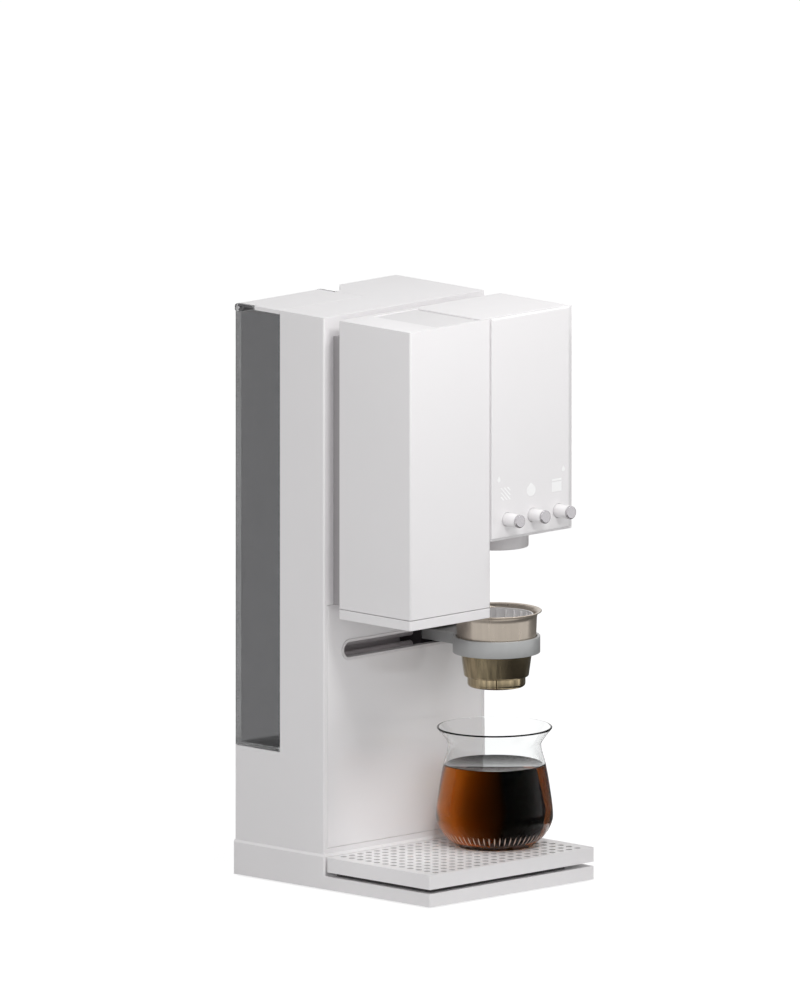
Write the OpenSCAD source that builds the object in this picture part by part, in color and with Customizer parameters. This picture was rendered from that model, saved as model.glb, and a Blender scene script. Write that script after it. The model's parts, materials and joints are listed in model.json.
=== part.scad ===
// Automatic pour-over coffee machine: column with tank, grinder, brewer, sliding dripper and carafe.
// Millimetres. +X is to the right, the front is -Y, +Z is up, and the feet stand on Z = 0.

/* [Overall] */
// Height from the underside of the base to the top
machine_h = 432; // [425:1:445]
// How far the rubber feet stand below the base
foot_stand = 1.5; // [1:0.5:3]
// Radius of a rubber foot
foot_r = 8; // [5:0.5:10]
// Height of a rubber foot
foot_h = 3; // [3:0.5:5]
// Distance of a foot's centre from the sides of the base
foot_inset = 20; // [19:1:26]
// Radius of the upright outer edges
edge_r = 1.5; // [0.5:0.25:3]
// Gap between pieces that are slid together and stay put
fit_gap = 0.2; // [0.1:0.05:0.3]
// Radial gap of a shaft or pin in its bore
run_gap = 0.05; // [0.02:0.01:0.1]

/* [Base] */
// How far the base stands proud of the column's sides
base_proud = 1.75; // [1:0.25:3]
// Depth of the base from back to front
base_d = 207.5; // [205:0.5:225]
// Thickness of the front plate of the base
plate_h = 10; // [9:0.5:12]
// Height of the skirt round the column
skirt_h = 26; // [24:1:29]
// How far the skirt stands in front of the column
skirt_front = 2; // [1.5:0.25:2.5]
// Thickness of the base's floor
base_floor = 4; // [3:0.5:5]
// Height of the locating rim inside the column
rim_h = 4; // [2:0.5:6]
// Thickness of the locating rim
rim_t = 2; // [1.5:0.5:3]

/* [Column] */
// Width of the column
column_w = 170; // [166:1:180]
// Depth of the column
column_d = 94; // [92:1:104]
// Wall of the column shell
column_wall = 3.5; // [3:0.25:4]
// Height of the front panel's lower edge
panel_bottom = 30; // [30:1:34]
// Height of the front panel's upper edge
panel_top = 214; // [212:1:216]
// Thickness of the front panel
panel_t = 2.5; // [2:0.25:2.75]
// Width of the ledge behind the front panel
panel_ledge = 4; // [3:0.5:6]
// Radius of the screw bosses
boss_r = 5; // [4:0.5:6]
// Height of the column's screw bosses
boss_h = 20; // [15:1:30]
// Radius of a screw's shank
screw_r = 1.5; // [1.25:0.25:2]
// Radius of a screw's head
screw_head_r = 3; // [2.5:0.25:3.5]
// Thickness of a screw's head
screw_head_h = 2; // [1.5:0.25:2.5]
// Length of a screw's shank in the column's boss
screw_bite = 10; // [8:1:14]

/* [Finger notch] */
// Width of the finger notch at the back
notch_w = 22; // [18:1:30]
// Width of the finger notch at its inner end
notch_end_w = 5; // [2:0.5:8]
// Depth of the finger notch from the back
notch_d = 18; // [12:0.2:24]
// Height of the finger notch
notch_h = 20; // [15:1:30]

/* [Water tank] */
// Width of the tank
tank_w = 87.8; // [80:0.2:90]
// Depth of the tank
tank_d = 47; // [42:0.5:48]
// Height of the tank's underside
tank_bottom = 98; // [94:1:106]
// Wall of the tank
tank_wall = 2.5; // [2:0.25:3]
// Back wall of the tank
tank_back_wall = 5; // [3:0.5:6]
// Gap between the tank and its bay
bay_gap = 0.5; // [0.3:0.1:0.8]
// Thickness of the tank's lid
tank_lid_t = 3; // [2.5:0.25:4]
// Length of the ears that carry the lid's hinge
ear_d = 20; // [16:1:24]
// Gap between the lid and the ears
ear_gap = 0.8; // [0.6:0.1:1.2]
// Radius of the lid's hinge barrel
lid_barrel_r = 3.2; // [2.6:0.1:3.4]
// Radius of the lid's hinge pin
lid_pin_r = 1; // [0.8:0.1:1.3]
// Distance of the hinge pin from the back
lid_pin_back = 3.9; // [3.8:0.1:5]
// Radius of the valve's stem
valve_r = 7; // [5:0.5:9]
// Radius of the valve's flange inside the tank
valve_flange_r = 12; // [11:0.5:14]
// How far the valve's stem stands below the tank
valve_drop = 10; // [8:0.5:12]
// Wall of the seat round the valve's stem
seat_wall = 5; // [4:0.5:7]
// Depth of the seat below the bay's floor
seat_h = 16; // [15:0.5:18]

/* [Neck and blocks] */
// Depth of the neck between the column and the blocks
neck_d = 15.5; // [13:0.5:17]
// How far the neck lies inside the sides of the machine
neck_inset = 10; // [8:0.5:12]
// Height of the neck's upper edge
neck_top = 417; // [412:1:420]
// Height of the neck's lower edge behind the brewer
neck_step = 270; // [268:1:280]
// Wall of the neck
neck_wall = 4; // [3:0.5:5]
// Depth of the grinder and brewer blocks
block_d = 75.7; // [74:0.1:80]
// Wall of the blocks
block_wall = 2.5; // [2:0.25:3]
// Width of the seam between the blocks
seam_w = 0.3; // [0.2:0.1:0.6]

/* [Grinder block] */
// Width of the grinder block
grinder_w = 84.5; // [83:0.5:86]
// Height of the grinder block's underside
grinder_bottom = 206; // [205:0.5:208]
// Height of the bottom band
band_h = 7.4; // [6:0.2:9]
// Height of the dark line above the bottom band
band_line = 0.6; // [0.4:0.1:1]
// Thickness of the band's floor
band_floor = 3; // [2:0.5:4]
// Height of the tongue inside the housing
tongue_h = 5; // [3:0.5:8]
// Thickness of the grinder block's top
grinder_top_t = 4; // [3.5:0.25:5]
// Width of the hopper lid
hopper_w = 44; // [40:1:46]
// Distance of the hopper lid from the block's right side
hopper_right = 7.5; // [7:0.5:9]
// Distance of the hopper lid from the block's front
hopper_front = 3.2; // [3:0.1:5]
// Distance of the hopper lid from the block's back
hopper_back = 6; // [5:0.5:8]
// How deep the hopper lid lies below the top
hopper_sink = 0.6; // [0.4:0.1:1.8]
// Thickness of the hopper lid
hopper_lid_t = 2.4; // [2:0.1:2.6]
// Room between the hopper lid's hinge and the block, for the open lid
hopper_swing = 0.8; // [0.7:0.1:1.5]
// Width of the finger bevel beside the hopper lid
bevel_w = 4; // [3:0.5:6]
// Radius of the hopper lid's hinge pin
hopper_pin_r = 0.6; // [0.5:0.05:0.7]
// Depth of the hinge pin's bores in the block
pin_bite = 2; // [1.5:0.25:2.5]

/* [Grinder works] */
// Height of the burr shaft
burr_z = 330; // [325:1:335]
// Radius of the motor
motor_r = 28; // [24:1:32]
// Length of the motor
motor_l = 32; // [28:1:34]
// Radius of the burr shaft
burr_shaft_r = 5; // [4:0.5:6]
// Radius of the burr chamber's outside
chamber_r = 34; // [32:0.5:36]
// Wall of the burr chamber
chamber_wall = 3; // [2.5:0.25:3.5]
// Depth of the burr chamber
chamber_d = 36; // [34:0.5:37]
// Outer radius of the burrs
burr_r = 25; // [22:0.5:27]
// Thickness of a burr
burr_t = 6; // [5:0.5:7]
// Gap between the burrs
burr_gap = 2; // [1.5:0.25:3]
// Radius of the outer burr's eye
burr_eye_r = 10; // [8:0.5:12]
// Radius of the bean inlet
inlet_r = 12; // [10:0.5:13]
// Wall of the bean inlet, funnel and chute
funnel_t = 2; // [1.5:0.25:2.5]
// Length of the burr chamber's inlet and outlet necks
neck_l = 8; // [6:0.5:10]
// Radius of the grind chute
chute_r = 11; // [10:0.5:12]
// Height of the bean funnel's box
funnel_h = 26; // [20:1:30]
// How far the funnel's box stands out past the lid
funnel_lap = 2; // [1:0.5:3]

/* [Brewer block] */
// Height of the brewer block's underside
brewer_bottom = 263.3; // [262:0.1:266]
// Thickness of the brewer's bottom plate
brewer_plate_t = 2.2; // [2:0.2:3]
// Thickness of the control panel
control_t = 4.5; // [4:0.25:5]
// How far the control panel stands out in front of the blocks
control_proud = 1.5; // [1:0.1:2]
// Bevel at the control panel's left edge
control_left_bevel = 0.5; // [0.3:0.1:1]
// Bevel at the control panel's top edge
control_top_bevel = 1.2; // [0.6:0.1:1.6]
// Width of the slope at the control panel's right edge
control_slope_w = 4.6; // [3:0.2:6]
// Depth of the slope at the control panel's right edge
control_slope_d = 1.5; // [1:0.1:2]
// Reach of the nozzle's axis in front of the column
brew_reach = 54.5; // [53:0.5:56]
// Radius of the nozzle collar
nozzle_r = 24; // [22:0.5:26]
// Height of the nozzle collar
nozzle_h = 12.3; // [10:0.1:14]
// Radius of the nozzle's neck in the bottom plate
nozzle_neck_r = 18; // [15:0.5:19]
// Wall of the nozzle collar
nozzle_wall = 2.5; // [2:0.25:3]
// Thickness of the shower plate
shower_t = 2; // [1.5:0.25:2.5]
// Radius of a shower hole
shower_hole_r = 1; // [0.6:0.1:1.4]

/* [Knobs] */
// Distance of the outer knobs from the sides of the control panel
knob_edge = 15.7; // [14:0.1:18]
// Height of the knobs
knob_z = 278.7; // [278:0.1:282]
// Diameter of a knob
knob_d = 10; // [9:0.25:11]
// Gap between a knob and the hole that it passes through
knob_gap = 0.3; // [0.25:0.05:0.5]
// How far a knob stands out of the panel
knob_out = 14.5; // [13:0.5:18]
// Length of a knob's end cap
cap_l = 2.5; // [2:0.25:3]
// Bevel of a knob's end cap
cap_bevel = 0.6; // [0.4:0.1:0.8]
// How far a knob pushes in
knob_travel = 1.5; // [1:0.1:1.6]
// Radius of an encoder's rotor
rotor_r = 2.5; // [2:0.25:3]
// Side of an encoder's body
encoder_side = 12; // [11:0.5:13]
// Depth of an encoder's body
encoder_d = 7; // [6:0.5:8]
// Wall of an encoder's neck
encoder_neck_t = 1; // [0.6:0.1:1.4]
// Distance between the panel and the control board
board_back = 10; // [9:0.5:11]
// Thickness of the circuit boards
board_t = 1.6; // [1.2:0.2:2]
// Distance of the control board from the brewer's side walls
board_side = 4.1; // [3:0.1:6]
// Height of the control board
control_board_h = 58; // [50:1:64]
// Radius of a standoff under a circuit board
standoff_r = 2.5; // [2:0.25:3]
// Distance of a standoff from the edges of its board
standoff_in = 4; // [3.5:0.5:5]

/* [Slot and rail] */
// Height of the slot's middle
slot_z = 177.8; // [177:0.1:179]
// Height of the slot's opening
slot_h = 11.4; // [10:0.2:12]
// Width of the bezel round the slot
bezel_w = 2.2; // [1.8:0.1:2.6]
// Thickness of the bezel's flange
bezel_t = 0.8; // [0.5:0.1:1.2]
// Wall of the bezel's sleeve
sleeve_t = 1.2; // [1:0.1:1.5]
// Distance of the bezel's ends from the column's sides
slot_end = 18.6; // [18:0.2:21]
// Height of the rail housing
rail_h = 36; // [35:0.5:40]
// Depth of the rail housing
rail_d = 38; // [36:0.5:39]
// Distance of the rail housing from the column's left side
rail_left = 12; // [11:0.5:13]
// Wall of the rail housing's ends
rail_end = 4; // [3:0.5:5]
// Wall of the rail housing
rail_wall = 2.5; // [2:0.25:3]
// Radius of the guide rods and of the lead screw
rod_r = 3; // [2.5:0.25:3.5]
// Distance between a guide rod and the lead screw
rod_pitch = 9.5; // [9:0.25:10]
// Depth of the rods behind the rail housing's front
rod_back = 21; // [19:0.5:22]
// Radius of the arm's motor
arm_motor_r = 11; // [9:0.5:12]
// Length of the arm's motor
arm_motor_l = 12; // [10:0.5:12]
// Width of the carriage
carriage_w = 26; // [22:1:28]
// Depth of the carriage
carriage_d = 22; // [18:1:24]
// Height of the carriage
carriage_h = 28; // [26:0.5:29]

/* [Dripper] */
// Width of the arm
arm_w = 24; // [20:1:26]
// Height of the arm
arm_h = 8.4; // [7:0.2:9]
// Outer radius of the ring
ring_r = 32.7; // [32:0.1:34]
// Wall of the ring
ring_wall = 2.2; // [1.6:0.1:2.4]
// Height of the ring's underside
ring_bottom = 170.4; // [170:0.1:171]
// Height of the ring
ring_h = 12.6; // [12:0.1:13]
// Thickness of the lip inside the ring that carries the cup
lip_t = 2.6; // [2:0.2:4]
// Radius of the hole in the ring's lip
lip_r = 27.4; // [26.8:0.1:27.6]
// Gap between the cup and the ring
cup_gap = 0.4; // [0.3:0.1:0.6]
// Radius of the cup's rim
rim_r = 33.5; // [33:0.1:35]
// Radius of the cup's wall under the rim
cup_top_r = 30.2; // [29.8:0.1:30.4]
// Radius of the cup's wall just under the ring
cup_mid_r = 26.9; // [25.5:0.1:27]
// Radius of the cup's wall at its foot
cup_foot_r = 24.3; // [23.5:0.1:24.8]
// Height of the cup's top
cup_top = 202.1; // [200:0.1:203]
// Height of the cup's foot
cup_foot = 152.3; // [150.5:0.1:153]
// Extra room between the cup's wall and the ring
cup_ease = 0.8; // [0.4:0.1:1.2]
// Bevel of the cup's foot
cup_bevel = 1.2; // [0.8:0.1:1.6]
// Wall of the cup
cup_wall = 1.2; // [1:0.1:1.5]
// Thickness of the cup's rim
cup_rim_t = 1.2; // [0.8:0.1:1.6]
// Height over which the cup opens to its rim
cup_flare_h = 6; // [4:0.5:8]
// Radius of the dripper's base
drip_base_r = 21.7; // [20.5:0.1:22]
// Height of the dripper's base
drip_base_h = 7.8; // [6:0.1:8.5]
// Rounding of the dripper's base
drip_base_round = 2.6; // [2:0.1:3]
// Radius of the drain hole
drain_r = 5; // [4:0.5:7]
// Extra room between the ribbed insert and the cup
insert_ease = 1; // [0.6:0.1:1.4]
// Wall of the ribbed insert
insert_t = 1.2; // [1:0.1:1.5]
// Number of ribs inside the insert
rib_count = 24; // [16:4:32]
// Thickness of a rib
rib_t = 1.2; // [0.8:0.1:1.5]
// Depth of a rib
rib_d = 1.4; // [1:0.1:2]

/* [Tray and scale] */
// Gap between the base plate and the tray
tray_gap = 3.3; // [3:0.1:4]
// Height of the tray
tray_h = 11; // [10:0.5:12]
// Distance of the tray from the column's front
tray_back = 4.5; // [3.5:0.25:6]
// Wall of the tray's cover
tray_wall = 2.5; // [2:0.25:3]
// Thickness of the tray's perforated top
tray_top_t = 2.2; // [1.8:0.1:2.6]
// Wall of the drip pan
pan_wall = 1.5; // [1.2:0.1:2]
// Gap between the drip pan and the tray's cover
pan_gap = 0.6; // [0.4:0.1:1]
// Spacing of the drain holes
hole_pitch = 8.8; // [8.5:0.1:10]
// Diameter of a drain hole
hole_d = 5; // [4:0.25:5.5]
// Least distance of a drain hole's centre from the tray's left and right edges
hole_side = 8.8; // [8:0.1:11]
// Least distance of a drain hole's centre from the tray's front and back edges
hole_end = 5.5; // [5.3:0.1:8]
// Distance of the scale platform from the base's front and left edges
platform_in = 5.5; // [4:0.5:8]
// Distance of the scale platform from the base's right edge
platform_right = 26; // [22:1:30]
// Gap under the scale platform
platform_gap = 0.6; // [0.4:0.1:1]
// Length of the load cell
cell_l = 80; // [70:1:90]
// Width of the load cell
cell_w = 13; // [11:0.5:15]
// Thickness of the load cell
cell_h = 6; // [5:0.25:6.5]
// Gap round the load cell in its pocket
cell_gap = 2; // [1.5:0.25:3]
// Height of the pads at the load cell's ends
cell_pad = 1; // [0.6:0.1:1.2]

/* [Carafe] */
// Radius of the carafe's foot
carafe_foot_r = 28.5; // [26:0.5:30]
// Widest radius of the carafe
carafe_r = 43.6; // [41:0.2:45]
// Radius of the carafe's neck
carafe_neck_r = 34.9; // [33:0.2:37]
// Radius of the carafe's lip
carafe_lip_r = 42.9; // [40:0.1:45]
// Height of the carafe
carafe_h = 88.5; // [86:0.5:92]
// Thickness of the carafe's glass
glass_t = 1.8; // [1.5:0.1:2.2]
// How far the carafe's side is drawn in just above its foot
carafe_low_in = 6.6; // [5:0.2:9]
// How far the carafe's side is drawn in below its widest place
carafe_swell_in = 1.2; // [0.6:0.1:2]
// How far the carafe's side is drawn in at half its height
carafe_mid_in = 2.4; // [1.4:0.1:3.4]
// How far the carafe's side is drawn in at its shoulder
carafe_shoulder_in = 5.4; // [4.4:0.1:6.4]
// How far the carafe's neck has opened just under its lip
carafe_flare = 1; // [0.4:0.1:2]
// Thickness of the carafe's bottom
glass_floor = 4; // [3:0.25:5]
// How far the carafe stands left of and behind the nozzle's axis
carafe_shift = 1; // [0:0.25:3]

/* [Water and power] */
// Size of the pump's body
pump_size = [46, 34, 38]; // [20:1:60]
// Height of the pump's pad on the base's floor
pump_pad = 5; // [4:0.5:8]
// Radius of the water hoses
hose_r = 4; // [3:0.25:4.5]
// Length of the nipples that the hoses are pushed on
nipple_l = 6; // [5:0.5:7]
// Distance of the heater's inlet from its left side
nipple_edge = 1; // [0.5:0.25:3]
// Depth of the heater
heater_d = 36; // [30:1:38]
// Height of the heater
heater_h = 100; // [80:1:104]
// Distance of the heater from the column's right wall
heater_right = 15.7; // [10:0.1:20]
// Height of the heater's underside
heater_bottom = 288; // [284:1:292]
// Distance of the heater and its hose from the tank bay
heater_left = 5; // [5:0.5:7]
// Distance of the heater from the column's back wall
heater_back = 6; // [4:0.5:8]
// Height at which the hose crosses the neck
hose_cross = 404; // [400:0.5:406]
// Size of the power board
power_board_size = [52, 90]; // [40:1:100]
// Height of the power board's lower edge
power_board_bottom = 110; // [105:1:120]
// Length of the power board's standoffs
power_standoff = 5; // [4:0.5:7]
// Height of the tall components on the power board
power_part_h = 16; // [10:1:20]
// Width of the mains inlet's opening
inlet_w = 24; // [22:0.5:26]
// Height of the mains inlet's opening
inlet_h = 16; // [15:0.5:18]
// Depth of the mains inlet's opening
inlet_d = 17; // [15:0.5:20]
// Wall of the mains inlet
inlet_wall = 2; // [1.5:0.25:2.5]
// Width of the mains inlet's flange
inlet_flange = 5; // [4:0.5:7]
// Distance of the mains inlet's middle from the column's right side
inlet_right = 36; // [32:1:42]
// Height of the mains inlet's middle
inlet_z = 58; // [54:1:66]
// Radius of the mains inlet's contacts
contact_r = 1.6; // [1.2:0.1:2]
// How far the middle contact lies above the inlet's middle
contact_rise = 2; // [1:0.25:3]
// How far the outer contacts lie below the inlet's middle
contact_drop = 1; // [0.5:0.25:2]

/* [Hidden] */
$fn = 64;
// How far a cutter reaches past the face that it opens, and a boss into the wall that it stands on
over = 1;
// Colours of the materials
white = "#f2f1f2";
pale = "#dcdadb";
dark = "#3c383b";
smoke = [0.36, 0.36, 0.37, 0.75];
steel = "#b0b3b2";
champagne = "#b8ab95";
green = "#3d6b4f";
// Levels
base_z = foot_stand;
top_z = base_z + machine_h;
plate_top = base_z + plate_h;
skirt_top = base_z + skirt_h;
floor_z = base_z + base_floor;
panel_z0 = base_z + panel_bottom;
panel_z1 = base_z + panel_top;
slot_mid = base_z + slot_z;
neck_z1 = base_z + neck_top;
neck_z2 = base_z + neck_step;
grinder_z = base_z + grinder_bottom;
band_top = grinder_z + band_h;
housing_z = band_top + band_line;
brewer_z = base_z + brewer_bottom;
brewer_plate_top = brewer_z + brewer_plate_t;
nozzle_z = brewer_z - nozzle_h;
knob_mid = base_z + knob_z;
control_board_z = knob_mid - encoder_side / 2 - over;
ring_z = base_z + ring_bottom;
ring_top = ring_z + ring_h;
lip_top = ring_z + lip_t;
cup_z1 = base_z + cup_top;
cup_z0 = base_z + cup_foot;
drip_base_z = cup_z0 - drip_base_h;
tray_z = plate_top + tray_gap;
tray_top = tray_z + tray_h;
pan_top = tray_top - tray_top_t;
platform_z = plate_top + platform_gap;
cell_top = platform_z - cell_pad;
cell_z = cell_top - cell_h;
pocket_z = cell_z - cell_pad;
tank_z = base_z + tank_bottom;
bay_z = tank_z - bay_gap;
tank_rim = top_z - tank_lid_t;
lid_pin_z = top_z - lid_barrel_r;
seat_z = bay_z - column_wall - seat_h;
hopper_lid_top = top_z - hopper_sink;
hopper_lid_z = hopper_lid_top - hopper_lid_t;
hopper_pin_z = hopper_lid_z + hopper_lid_t / 2;
shaft_z = base_z + burr_z;
funnel_z = hopper_lid_z - funnel_h;
heater_z = base_z + heater_bottom;
heater_top = heater_z + heater_h;
cross_z = base_z + hose_cross;
pump_z = floor_z + pump_pad;
pump_top = pump_z + pump_size.z;
inlet_mid = base_z + inlet_z;
power_z = base_z + power_board_bottom;
// Places across the machine
left_x = -column_w / 2;
right_x = column_w / 2;
base_x = right_x + base_proud;
inner_x = right_x - column_wall;
grinder_x1 = left_x + grinder_w;
brewer_x0 = grinder_x1 + seam_w;
grind_x = left_x + grinder_w / 2;
brew_x = (brewer_x0 + right_x) / 2;
neck_x = right_x - neck_inset;
tank_x1 = left_x + tank_w;
bay_x = tank_x1 + bay_gap;
tank_mid_x = left_x + tank_w / 2;
hopper_x1 = grinder_x1 - hopper_right;
hopper_x0 = hopper_x1 - hopper_w;
hopper_pin_x = hopper_x1 - hopper_lid_t / 2;
bezel_x = right_x - slot_end;
rail_x0 = left_x + rail_left;
motor_x1 = inner_x - fit_gap;
rail_x1 = motor_x1 - arm_motor_l;
heater_x0 = bay_x + column_wall + heater_left;
heater_x1 = inner_x - heater_right;
hose_x = heater_x0 + hose_r + nipple_edge;
inlet_x = right_x - inlet_right;
carafe_x = brew_x - carafe_shift;
// Places from front to back
back_y = base_d / 2;
base_front_y = -back_y;
front_y = back_y - column_d;
skirt_y = front_y - skirt_front;
inner_front_y = front_y + column_wall;
inner_back_y = back_y - column_wall;
block_back_y = front_y - neck_d;
block_front_y = block_back_y - block_d;
control_front_y = block_front_y - control_proud;
control_back_y = control_front_y + control_t;
board_y = control_back_y + board_back;
control_board_w = right_x - brewer_x0 - 2 * (block_wall + board_side);
brew_y = front_y - brew_reach;
tray_y1 = front_y - tray_back;
tray_mid_y = (base_front_y + tray_y1) / 2;
tank_y0 = back_y - tank_d;
bay_y = tank_y0 - bay_gap;
tank_mid_y = back_y - tank_d / 2;
ear_y = back_y - ear_d;
lid_pin_y = back_y - lid_pin_back;
hopper_y0 = block_front_y + hopper_front;
hopper_y1 = block_back_y - hopper_back;
panel_back_y = front_y + panel_t;
rail_y1 = panel_back_y + rail_d;
rod_y = panel_back_y + rod_back;
carriage_y0 = rod_y - carriage_d / 2;
motor_y1 = block_back_y - block_wall;
motor_y0 = motor_y1 - motor_l;
chamber_y0 = motor_y0 - chamber_d;
outer_burr_y = chamber_y0 + chamber_wall;
inner_burr_y = outer_burr_y + burr_t + burr_gap;
chamber_mid_y = motor_y0 - chamber_d / 2;
carafe_y = brew_y + carafe_shift;
heater_y1 = inner_back_y - heater_back;
heater_mid_y = heater_y1 - heater_d / 2;
// Places of the knobs, from left to right
knob_pitch = (right_x - brewer_x0) / 2 - knob_edge;
knob_xs = [brew_x - knob_pitch, brew_x, brew_x + knob_pitch];
// Places of the feet and of the base screws
foot_x = base_x - foot_inset;
foot_y = back_y - foot_inset;
boss_x = inner_x - boss_r + over;
boss_front_y = inner_front_y + boss_r + rim_t;
boss_back_y = inner_back_y - boss_r + over;
// Drain holes of the tray, centred on it
tray_d = tray_y1 - base_front_y;
hole_cols = floor((2 * base_x - 2 * hole_side) / hole_pitch);
hole_rows = floor((tray_d - 2 * hole_end) / hole_pitch);
// Outline of the carafe's outside from foot to lip, as radius and height
carafe_outline = [
    [carafe_foot_r, 0],
    [carafe_r - carafe_low_in, 0.084 * carafe_h],
    [carafe_r - carafe_swell_in, 0.186 * carafe_h],
    [carafe_r, 0.285 * carafe_h],
    [carafe_r - carafe_mid_in, 0.503 * carafe_h],
    [carafe_r - carafe_shoulder_in, 0.69 * carafe_h],
    [carafe_neck_r, 0.835 * carafe_h],
    [carafe_neck_r + carafe_flare, 0.895 * carafe_h],
    [carafe_lip_r, carafe_h]
];
curve_steps = 4;

// A point on the smooth curve through p, between points i and i + 1
function curve_point(p, i, t) =
    let (
        a = p[max(i - 1, 0)],
        b = p[i],
        c = p[i + 1],
        d = p[min(i + 2, len(p) - 1)]
    )
    b + t * (c - a) / 2 + t * t * (a - 2.5 * b + 2 * c - d / 2) + t * t * t * (1.5 * (b - c) + (d - a) / 2);

// The smooth curve through p
function curve(p) = concat(
    [for (i = [0:len(p) - 2], k = [0:curve_steps - 1]) curve_point(p, i, k / curve_steps)],
    [p[len(p) - 1]]
);

// A list in reverse order
function reversed(p) = [for (i = [len(p) - 1:-1:0]) p[i]];

module rounded_rect(w, d, r) {
    translate([r, 0]) square([w - 2 * r, d]);
    translate([0, r]) square([w, d - 2 * r]);
    for (x = [r, w - r], y = [r, d - r]) translate([x, y]) circle(r);
}

// A box between two corners, with its upright edges rounded
module block(low, high, r = 0) {
    size = high - low;
    translate(low) {
        if (r > 0) linear_extrude(size.z) rounded_rect(size.x, size.y, r);
        else cube(size);
    }
}

module rod_x(x0, x1, y, z, r) {
    translate([x0, y, z]) rotate([0, 90, 0]) cylinder(h = x1 - x0, r = r);
}

module rod_y(x, y0, y1, z, r) {
    translate([x, y0, z]) rotate([-90, 0, 0]) cylinder(h = y1 - y0, r = r);
}

module rod_z(x, y, z0, z1, r) {
    translate([x, y, z0]) cylinder(h = z1 - z0, r = r);
}

// An outline in Y and Z, drawn out along X
module along_x(x0, x1) {
    translate([x0, 0, 0]) rotate([90, 0, 90]) linear_extrude(x1 - x0) children();
}

// An outline in X and Z, drawn out along Y
module along_y(y0, y1) {
    translate([0, y1, 0]) rotate([90, 0, 0]) linear_extrude(y1 - y0) children();
}

// A slot-shaped bar along X with round ends, between two Y planes
module slot_bar(half_l, h, y0, y1) {
    r = h / 2;
    along_y(y0, y1) translate([0, slot_mid]) {
        translate([-half_l + r, -r]) square([2 * (half_l - r), h]);
        for (s = [-1, 1]) translate([s * (half_l - r), 0]) circle(r);
    }
}

module at_screws() {
    for (x = [-boss_x, boss_x], y = [boss_front_y, boss_back_y]) translate([x, y, 0]) children();
}

// Base

module skirt_body() {
    intersection() {
        block([-base_x, skirt_y, base_z], [base_x, back_y, skirt_top], edge_r);
        along_y(skirt_y - over, back_y + over) polygon([
            [-base_x, base_z], [base_x, base_z], [base_x, skirt_top - base_proud],
            [right_x, skirt_top], [left_x, skirt_top], [-base_x, skirt_top - base_proud]
        ]);
        along_x(-base_x - over, base_x + over) polygon([
            [skirt_y, base_z], [back_y, base_z], [back_y, skirt_top],
            [skirt_y + base_proud, skirt_top], [skirt_y, skirt_top - base_proud]
        ]);
    }
}

module base_plate() {
    rim_x = inner_x - fit_gap;
    rim_y0 = inner_front_y + fit_gap;
    rim_y1 = inner_back_y - fit_gap;
    rim_z = skirt_top + rim_h;
    cell_x = cell_l / 2;
    color(white) difference() {
        union() {
            difference() {
                union() {
                    block([-base_x, base_front_y, base_z], [base_x, back_y, plate_top], edge_r);
                    skirt_body();
                    block([-rim_x, rim_y0, skirt_top - over], [rim_x, rim_y1, rim_z], edge_r);
                }
                block(
                    [-rim_x + rim_t, rim_y0 + rim_t, floor_z],
                    [rim_x - rim_t, rim_y1 - rim_t, rim_z + over]
                );
                at_screws() rod_z(0, 0, skirt_top, rim_z + over, boss_r + fit_gap);
            }
            at_screws() rod_z(0, 0, base_z, skirt_top, boss_r);
            translate([tank_mid_x, tank_mid_y, 0]) block(
                [-pump_size.x / 2, -pump_size.y / 2, floor_z - over],
                [pump_size.x / 2, pump_size.y / 2, pump_z]
            );
        }
        at_screws() {
            rod_z(0, 0, base_z - over, skirt_top + over, screw_r + fit_gap);
            rod_z(0, 0, base_z - over, base_z + screw_head_h + fit_gap, screw_head_r + fit_gap);
        }
        for (x = [-foot_x, foot_x], y = [-foot_y, foot_y])
            rod_z(x, y, base_z - over, base_z + foot_h - foot_stand, foot_r + run_gap);
        difference() {
            translate([0, tray_mid_y, 0]) block(
                [-cell_x - cell_gap, -cell_w / 2 - cell_gap, pocket_z],
                [cell_x + cell_gap, cell_w / 2 + cell_gap, plate_top + over]
            );
            rod_z(-cell_x + cell_w / 2, tray_mid_y, pocket_z - over, cell_z, cell_w / 2);
        }
    }
}

module rubber_feet() {
    color(dark) for (x = [-foot_x, foot_x], y = [-foot_y, foot_y]) rod_z(x, y, 0, foot_h, foot_r);
}

module housing_screws() {
    color(steel) at_screws() {
        rod_z(0, 0, base_z + fit_gap, base_z + screw_head_h + fit_gap, screw_head_r);
        rod_z(0, 0, base_z + screw_head_h, skirt_top + screw_bite, screw_r);
    }
}

// Column

module bay_cut() {
    block([left_x - over, bay_y, bay_z], [bay_x, back_y + over, top_z + over]);
}

module column_cavity() {
    bay_wall_x = bay_x + column_wall;
    bay_wall_y = bay_y - column_wall;
    notch_floor = top_z - notch_h - column_wall;
    ceiling = top_z - column_wall;
    block([-inner_x, inner_front_y, skirt_top - over], [inner_x, inner_back_y, bay_z - column_wall]);
    block([-inner_x, inner_front_y, bay_z - column_wall - over], [inner_x, bay_wall_y, ceiling]);
    block([bay_wall_x, inner_front_y, bay_z - column_wall - over], [inner_x, inner_back_y, notch_floor]);
    block(
        [bay_x + notch_w + column_wall, inner_front_y, notch_floor - over],
        [inner_x, inner_back_y, ceiling]
    );
}

module neck_windows(y0, y1) {
    w = neck_wall;
    block([-neck_x + w, y0, panel_z1 + w], [-w / 2, y1, neck_z1 - w]);
    block([w / 2, y0, neck_z2 + w], [neck_x - w, y1, neck_z1 - w]);
}

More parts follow.
